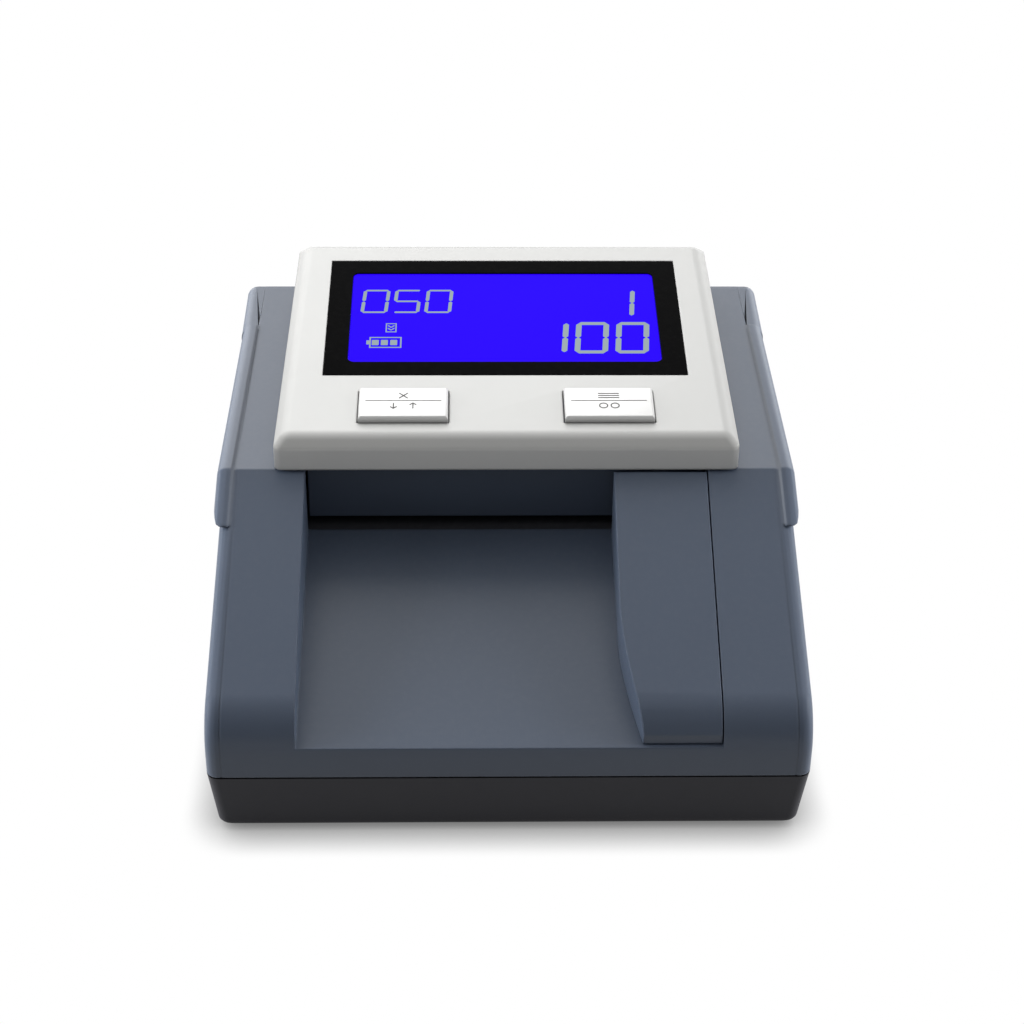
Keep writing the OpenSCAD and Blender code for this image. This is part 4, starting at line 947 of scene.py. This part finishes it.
@dataclass
class Printer:
    """Thin printed strokes and rings on a flat place, gathered into one piece."""

    thick: float = 0.04
    blunt: float = 0.08
    ring_sides: int = 40
    angle: float = 20.0
    place: Matrix = field(default_factory=Matrix)
    strokes: list[Piece] = field(default_factory=list)

    def stroke(self, start: Spot, end: Spot, width: float, point: float = 0.0) -> None:
        """Add a straight stroke between two points of a flat place.

        Args:
            start: First point in millimetres.
            end: Second point.
            width: Width of the stroke.
            point: How far its corners are cut off.
        """
        run = Vector((end[0] - start[0], end[1] - start[1]))
        middle = Vector(((start[0] + end[0]) / 2, (start[1] + end[1]) / 2, 0.0)) * MM
        piece = Bench.block((run.length, width, self.thick), Matrix())
        Bench.round_edges(piece, max(point, self.blunt * width), 1, Bench.climbs(self.thick))
        turn = Matrix.Rotation(math.atan2(run.y, run.x), 4, "Z")
        piece.data.transform(self.place @ Matrix.Translation(middle) @ turn)
        self.strokes.append(piece)

    def frame(self, low: Spot, high: Spot, width: float) -> None:
        """Add an outlined rectangle.

        Args:
            low: Lower left corner.
            high: Upper right corner.
            width: Width of the outline.
        """
        for s in (low[1] + width / 2, high[1] - width / 2):
            self.stroke((low[0], s), (high[0], s), width)
        for x in (low[0] + width / 2, high[0] - width / 2):
            self.stroke((x, low[1] + width), (x, high[1] - width), width)

    def ring(self, centre: Spot, radius: float, width: float) -> None:
        """Add a ring: a disc, inset, its middle taken out, then given a thickness.

        Args:
            centre: Its centre.
            radius: Outer radius.
            width: Width of the ring.
        """
        Bench.clear()
        bpy.ops.mesh.primitive_circle_add(vertices=self.ring_sides, radius=radius * MM, fill_type="NGON")
        piece = bpy.context.object
        Bench.edit(piece, "FACE", "SELECT")
        bpy.ops.mesh.inset(thickness=width * MM)
        bpy.ops.mesh.delete(type="FACE")
        bpy.ops.mesh.select_all(action="SELECT")
        bpy.ops.mesh.extrude_region_move(TRANSFORM_OT_translate={"value": (0.0, 0.0, self.thick * MM)})
        bpy.ops.mesh.select_all(action="SELECT")
        bpy.ops.mesh.normals_make_consistent(inside=False)
        bpy.ops.object.mode_set(mode="OBJECT")
        piece.data.transform(self.place @ Matrix.Translation(Vector((*centre, -self.thick / 2)) * MM))
        self.strokes.append(piece)

    def finish(self, name: str, finish: Finish, body: Body, slot: str) -> None:
        """Join the strokes into one dressed piece.

        Args:
            name: Name of the piece.
            finish: Its finish.
            body: The body that it rides on.
            slot: The record's material slot.
        """
        piece = Bench.join(self.strokes, name)
        self.strokes = []
        Bench.fit(piece, self.angle, finish, body, slot)


@dataclass
class DigitGroup:
    """A row of leaning seven-bar digits, by its lower left corner on the panel."""

    digits: str
    corner: Spot
    width: float
    height: float
    pitch: float
    upright: float
    level: float
    lean: float
    gap: float = 0.3
    point: float = 0.42

    def draw(self, printer: Printer, lift: float) -> None:
        """Draw every bar of every digit.

        Args:
            printer: Takes the strokes.
            lift: Height above the panel.
        """
        slant = Matrix.Identity(4)
        slant[0][1], slant[0][3] = self.lean, self.lean * self.height / 2 * MM
        for index, digit in enumerate(self.digits):
            left = self.corner[0] + index * self.pitch
            middle = PANEL.matrix(left + self.width / 2, self.corner[1] + self.height / 2, lift)
            printer.place = middle @ slant
            for bar in DIGITS[digit]:
                self._bar(printer, bar)

    def _bar(self, printer: Printer, bar: Bar) -> None:
        """Draw one bar.

        Args:
            printer: Takes the stroke.
            bar: Which bar.
        """
        column, row, is_upright = bar.value
        x = column * (self.width - self.upright) / 2
        s = row * (self.height - self.level) / 2
        if is_upright:
            half = (self.height - self.level) / 4 - self.gap + self.level / 4
            printer.stroke((x, s - half), (x, s + half), self.upright, self.point * self.upright)
        else:
            half = (self.width - self.upright) / 2 - self.gap + self.upright / 4
            printer.stroke((x - half, s), (x + half, s), self.level, self.point * self.level)


@dataclass
class Display:
    """Figures and signs that show on the blue display."""

    lift: float = -0.27
    groups: tuple[DigitGroup, ...] = (
        DigitGroup("050", (-34.5, 48.2), 6.5, 9.95, 7.65, 0.85, 0.62, 0.061),
        DigitGroup("1", (24.2, 46.6), 7.0, 11.7, 7.0, 1.15, 1.1, 0.078),
        DigitGroup("100", (6.7, 31.4), 7.9, 12.9, 9.6, 1.35, 1.17, 0.0744),
    )
    battery: tuple[Spot, Spot] = ((-31.9, 33.7), (-24.3, 38.1))
    battery_line: float = 0.35
    battery_cells: tuple[float, ...] = (-30.5, -28.35, -26.15)
    cell_span: Spot = (34.8, 36.9)
    cell_width: float = 1.65
    terminal: tuple[Spot, Spot] = ((-32.25, 35.1), (-32.25, 36.7))
    terminal_width: float = 0.7
    feed: tuple[Spot, Spot] = ((-28.2, 40.1), (-25.6, 43.8))
    feed_line: float = 0.3
    feed_middle: float = -26.9
    feed_barb: Spot = (0.75, 0.8)
    feed_tips: Spot = (41.0, 42.1)

    def build(self) -> None:
        """Draw the digits, the battery sign and the feed sign."""
        printer = Printer()
        for group in self.groups:
            group.draw(printer, self.lift)
        printer.finish("display_digits", SEGMENT, Body.LID, "lcd_blue")
        printer.place = PANEL.matrix(0.0, 0.0, self.lift)
        printer.frame(*self.battery, self.battery_line)
        printer.stroke(*self.terminal, self.terminal_width)
        for x in self.battery_cells:
            printer.stroke((x, self.cell_span[0]), (x, self.cell_span[1]), self.cell_width)
        printer.frame(*self.feed, self.feed_line)
        x = self.feed_middle
        for s in self.feed_tips:
            for side in (-1, 1):
                end = (x + side * self.feed_barb[0], s + self.feed_barb[1])
                printer.stroke((x, s), end, self.feed_line)
        printer.finish("display_signs", SEGMENT, Body.LID, "lcd_blue")


@dataclass
class KeyMarks:
    """Plain signs on the two keys, above and below a rule."""

    key_x: float = 23.3
    lift: float = 1.42
    upper: float = 12.5
    rule: float = 10.6
    rule_half: float = 8.6
    rule_width: float = 0.2
    lower: float = 8.7
    line: float = 0.28
    cross_half: float = 1.0
    arrow_x: float = 2.2
    arrow_half: float = 1.05
    barb: float = 0.75
    rows: tuple[float, ...] = (-0.8, 0.0, 0.8)
    row_half: float = 2.4
    ring_x: float = 1.3
    ring_r: float = 1.05

    def build(self) -> None:
        """Draw the marks of both keys."""
        for side, body, signs in ((-1, Body.LEFT_KEY, self._left), (1, Body.RIGHT_KEY, self._right)):
            printer = Printer(place=PANEL.matrix(side * self.key_x, 0.0, self.lift))
            printer.stroke((-self.rule_half, self.rule), (self.rule_half, self.rule), self.rule_width)
            signs(printer)
            printer.finish(f"{body.value}_marks", INK, body, "key_plastic")

    def _left(self, printer: Printer) -> None:
        """Draw a cross above the rule, and an arrow away from the user and one towards them below it.

        Args:
            printer: Takes the strokes.
        """
        low, high = self.upper - self.cross_half, self.upper + self.cross_half
        for way in (-1, 1):
            printer.stroke((-way * self.cross_half, low), (way * self.cross_half, high), self.line)
            x, tip = way * self.arrow_x, self.lower + way * self.arrow_half
            printer.stroke((x, self.lower - way * self.arrow_half), (x, tip), self.line)
            for side in (-1, 1):
                printer.stroke((x, tip), (x + side * self.barb, tip - way * self.barb), self.line)

    def _right(self, printer: Printer) -> None:
        """Draw lines above the rule and rings below it.

        Args:
            printer: Takes the strokes.
        """
        for step in self.rows:
            s = self.upper + step
            printer.stroke((-self.row_half, s), (self.row_half, s), self.line)
        for x in (-self.ring_x, self.ring_x):
            printer.ring((x, self.lower), self.ring_r, self.line)


@dataclass
class RockerMarks:
    """A stroke and a ring on the two halves of the power rocker."""

    centre: Point = (36.0, 66.0, 27.5)
    front: float = 3.4
    dip: float = 0.8
    half: float = 5.6
    tilt: float = 8.0
    clear: float = 0.02
    stroke_half: float = 1.1
    stroke_width: float = 0.4
    ring_r: float = 1.2
    ring_width: float = 0.36

    def build(self) -> None:
        """Draw both marks."""
        printer = Printer(place=self._place(1))
        printer.stroke((0.0, -self.stroke_half), (0.0, self.stroke_half), self.stroke_width)
        printer.place = self._place(-1)
        printer.ring((0.0, 0.0), self.ring_r, self.ring_width)
        printer.finish("rocker_marks", PALE_INK, Body.POWER_ROCKER, "switch_black")

    def _place(self, way: int) -> Matrix:
        """Matrix of one half's face.

        Args:
            way: 1 for the upper half and -1 for the lower.

        Returns:
            The matrix from a mark lying flat at the origin.
        """
        facing = Matrix(((-1, 0, 0, 0), (0, 0, 1, 0), (0, 1, 0, 0), (0, 0, 0, 1)))
        depth = self.front - self.dip / 2 + self.clear
        middle = Matrix.Translation(Vector((0.0, depth, way * self.half / 2)) * MM)
        lean = Matrix.Rotation(-way * math.atan2(self.dip, self.half), 4, "X")
        turned = Matrix.Rotation(math.radians(self.tilt), 4, "X")
        return Matrix.Translation(Vector(self.centre) * MM) @ turned @ middle @ lean @ facing


@dataclass
class Fastening:
    """Screws of one node, each with a cross recess in its head."""

    node: str
    axis: str
    heads: tuple[Point, ...]
    arm: float
    width: float
    depth: float = 0.6
    angle: float = 35.0

    def build(self) -> None:
        """Copy the screws and cut both arms of every cross."""
        piece = Bench.copy_node(self.node, f"{self.node}_crossed")
        for size in ((self.arm, self.width), (self.width, self.arm)):
            sides = (size[0], 2 * self.depth, size[1]) if self.axis == "Y" else (*size, 2 * self.depth)
            tools = [Bench.block(sides, Matrix.Translation(Vector(head) * MM)) for head in self.heads]
            Bench.cut(piece, Bench.join(tools, "cross_tool"))
        Bench.fit(piece, self.angle, STEEL, Body.CHASSIS, "steel", self.node)


@dataclass
class Feet:
    """Rubber feet with a raised rim underneath."""

    underside: float = -0.99
    lowest: float = 0.1
    rim: float = 1.1
    depth: float = 0.5
    angle: float = 35.0

    def build(self) -> None:
        """Copy the feet, inset their undersides and press the middles in."""
        piece = Bench.copy_node("rubber_feet", "rubber_feet_rimmed")
        Bench.pick_faces(piece, lambda face: (face.normal.z < self.underside
                                              and face.calc_center_median().z < self.lowest * MM))
        bpy.ops.mesh.inset(thickness=self.rim * MM, use_boundary=True)
        bpy.ops.transform.translate(value=(0.0, 0.0, self.depth * MM))
        bpy.ops.object.mode_set(mode="OBJECT")
        Bench.fit(piece, self.angle, RUBBER, Body.CHASSIS, "rubber_black", "rubber_feet")


@dataclass(frozen=True)
class Softbox:
    """A square soft lamp, in metres and watts."""

    name: str
    place: Point
    aim: Point
    size: float
    power: float
    in_gloss: bool = True
    in_matt: bool = True

    def build(self) -> None:
        """Add the lamp, turned towards its aim."""
        data = bpy.data.lights.new(self.name, "AREA")
        data.size = self.size
        data.energy = self.power
        lamp = bpy.data.objects.new(self.name, data)
        bpy.context.scene.collection.objects.link(lamp)
        lamp.location = self.place
        lamp.rotation_euler = (Vector(self.aim) - Vector(self.place)).to_track_quat("-Z", "Y").to_euler()
        lamp.visible_glossy = self.in_gloss
        lamp.visible_diffuse = self.in_matt


@dataclass
class Studio:
    """Pale floor, soft light and the camera."""

    lens: float = 76.99
    sensor: float = 36.0
    clip: Spot = (0.01, 20.0)
    place: Point = (-8.65, -431.37, 317.92)
    right: Point = (0.999799, -0.017792, 0.009258)
    up: Point = (0.001928, 0.544714, 0.838619)
    look: Point = (0.019964, 0.838433, -0.544639)
    floor_size: float = 6.0
    floor_tones: Spot = (0.18, 0.22)
    floor_scale: float = 3.0
    # Painted contact shadow on the floor: its reach, gain, power and least strength of the white.
    contact: float = 0.010
    contact_gain: float = 1.06
    contact_power: float = 1.6
    contact_least: float = 0.16
    side_power: Spot = (10.5, 9.0)
    rim_power: float = 1.4
    dark: Colour = (0.05, 0.05, 0.052)
    light_by: Point = (0.36, 0.60, 0.40)
    light_least: float = 0.24
    gloss_front: float = 0.4
    gloss_by: Spot = (0.6, 0.9)
    gloss_least: float = 0.55

    def build(self) -> None:
        """Set up the view settings, camera, floor, world and lamps."""
        bpy.context.scene.view_settings.view_transform = "Standard"
        self._camera()
        self._floor()
        self._world()
        Softbox("back_softbox", (-0.12, 0.55, 0.60), (0.0, 0.0, 0.05), 0.70, 3.6).build()
        for side, power in zip((-1, 1), self.side_power):
            Softbox("side_softbox", (side * 0.62, 0.04, 0.16), (0.0, 0.0, 0.04), 0.40, power,
                    in_gloss=False).build()
            Softbox("rim_softbox", (side * 0.46, 0.76, 0.22), (0.0, 0.0, 0.05), 0.45, self.rim_power,
                    in_matt=False).build()

    def _camera(self) -> None:
        """Put the camera at the photograph's viewpoint."""
        data = bpy.data.cameras.new("camera")
        data.lens = self.lens
        data.sensor_width = self.sensor
        data.clip_start, data.clip_end = self.clip
        camera = bpy.data.objects.new("camera", data)
        bpy.context.scene.collection.objects.link(camera)
        turn = Matrix((self.right, self.up, [-c for c in self.look])).transposed().to_4x4()
        camera.matrix_world = Matrix.Translation(Vector(self.place) * MM) @ turn
        bpy.context.scene.camera = camera

    @staticmethod
    def _shown(desk: NodeDesk) -> tuple[Socket, Socket]:
        """Give the mask of camera rays, and the mask of glossy and transmitted rays."""
        path = desk.add("ShaderNodeLightPath").outputs
        mirrored = path["Is Glossy Ray"], path["Is Transmission Ray"]
        return path["Is Camera Ray"], desk.maths("MAXIMUM", *mirrored)

    def _floor(self) -> None:
        """Wide pale floor that shows white, with a painted contact shadow where the object stands near."""
        bpy.ops.object.select_all(action="DESELECT")
        bpy.ops.mesh.primitive_plane_add(size=self.floor_size)
        floor = bpy.context.object
        floor.name = "floor"
        made = bpy.data.materials.new("pale_floor")
        desk = NodeDesk.clear(made)
        tones = [(level, level, level, 1.0) for level in self.floor_tones]
        tone = desk.mix(desk.noise(self.floor_scale), *tones)
        matt = desk.add("ShaderNodeBsdfDiffuse", {"Color": tone}).outputs[0]
        # Painted contact shadow: the white emission dims where ambient occlusion finds the object near.
        sky = desk.add("ShaderNodeAmbientOcclusion", {"Distance": self.contact}, samples=24).outputs["AO"]
        painted_shadow = desk.maths("POWER", desk.times(sky, self.contact_gain, clamp=True), self.contact_power)
        clear = desk.plus(desk.times(painted_shadow, 1.0 - self.contact_least), self.contact_least)
        white = desk.add("ShaderNodeEmission", {"Strength": clear}).outputs[0]
        seen = desk.maths("MAXIMUM", *self._shown(desk))
        shown = desk.add("ShaderNodeMixShader", {0: seen, 1: matt, 2: white}).outputs[0]
        desk.add("ShaderNodeOutputMaterial", {"Surface": shown})
        floor.data.materials.append(made)

    def _world(self) -> None:
        """White to the camera and in gloss, but for gloss in front; light from behind and the sides."""
        world = bpy.data.worlds.new("studio")
        bpy.context.scene.world = world
        desk = NodeDesk.clear(world)
        way = desk.add("ShaderNodeTexCoord").outputs["Generated"]
        across, depth, height = desk.add("ShaderNodeSeparateXYZ", {0: way}).outputs
        aside = desk.maths("ABSOLUTE", across, 0.0)
        rise = desk.plus(desk.times(height, self.light_by[2]), desk.times(depth, self.light_by[1]))
        flank = desk.plus(desk.times(aside, self.light_by[0]), self.light_least)
        shade = desk.mix(desk.plus(rise, flank, clamp=True), (*self.dark, 1.0), WHITE)
        around = desk.plus(desk.times(aside, self.gloss_by[0]), self.gloss_least)
        open_side = desk.plus(desk.times(depth, self.gloss_by[1]), around, clamp=True)
        mirrored = desk.mix(open_side, (*(self.gloss_front,) * 3, 1.0), WHITE)
        seen, glossy = self._shown(desk)
        lit = desk.mix(seen, desk.mix(glossy, shade, mirrored), WHITE)
        back = desk.add("ShaderNodeBackground", {"Color": lit, "Strength": 1.0})
        desk.add("ShaderNodeOutputWorld", {"Surface": back.outputs[0]})


PLAIN: tuple[Plain, ...] = (
    Plain(HOUSING, "housing_plastic", "rear_cover hinge_brackets upper_chassis", 22.0),
    Plain(BASE, "base_plastic", "battery_cover"),
    Plain(LCD, "lcd_blue", "lcd_panel"),
    Plain(BACKLIGHT, "backlight_white", "backlight_plate"),
    Plain(BOARD, "board_green", "main_board display_board"),
    Plain(CHIP, "chip_black", "board_chips buzzer encoder_sensor encoder_disc key_switches"),
    Plain(SWITCH, "switch_black", "dc_jack switch_frame power_rocker"),
    Plain(RUBBER, "rubber_black",
          "drive_belt front_rollers rear_rollers front_pinch_rollers rear_pinch_rollers"),
    Plain(STEEL, "steel",
          "board_screws frame_screws motor_screws hinge_pins magnetic_head drive_motor front_shaft "
          "rear_shaft motor_shaft front_pinch_axle rear_pinch_axle pinch_springs lid_screws"),
    Plain(ZINC, "frame_steel", "left_frame right_frame"),
    Plain(BRONZE, "bronze", "shaft_bushes"),
    Plain(GUIDE, "guide_plastic", "lower_guide lower_sensor_bar upper_sensor_bar"),
    Plain(GLASS, "sensor_glass", "lower_sensor_glass upper_sensor_glass"),
    Plain(ACETAL, "pulley_plastic", "front_pulley rear_pulley motor_pulley"),
    Plain(WRAP, "battery_wrap", "battery_pack"),
    Plain(LAMP_BOARD, "lamp_board", "uv_lamp_board"),
)
SCREWS: tuple[Fastening, ...] = (
    Fastening("case_screws", "Z", tuple((x, y, 8.85) for x in (-56.5, 56.5) for y in (-59.0, 60.0)),
              3.2, 0.8),
    Fastening("battery_cover_screw", "Z", ((-50.6, -32.5, 1.5),), 2.2, 0.55),
    Fastening("rear_cover_screws", "Y", ((-51.8, 70.9, 32.5), (51.8, 70.9, 32.5)), 2.2, 0.55),
)


def main() -> None:
    """Build every sub-assembly."""
    logging.basicConfig(level=logging.INFO)
    assemblies = (Studio(), *PLAIN, Shells(), GuideInsert(), Console(), Display(), KeyMarks(), RockerMarks(),
                  Feet(), *SCREWS)
    for assembly in assemblies:
        assembly.build()


if __name__ == "__main__":
    main()
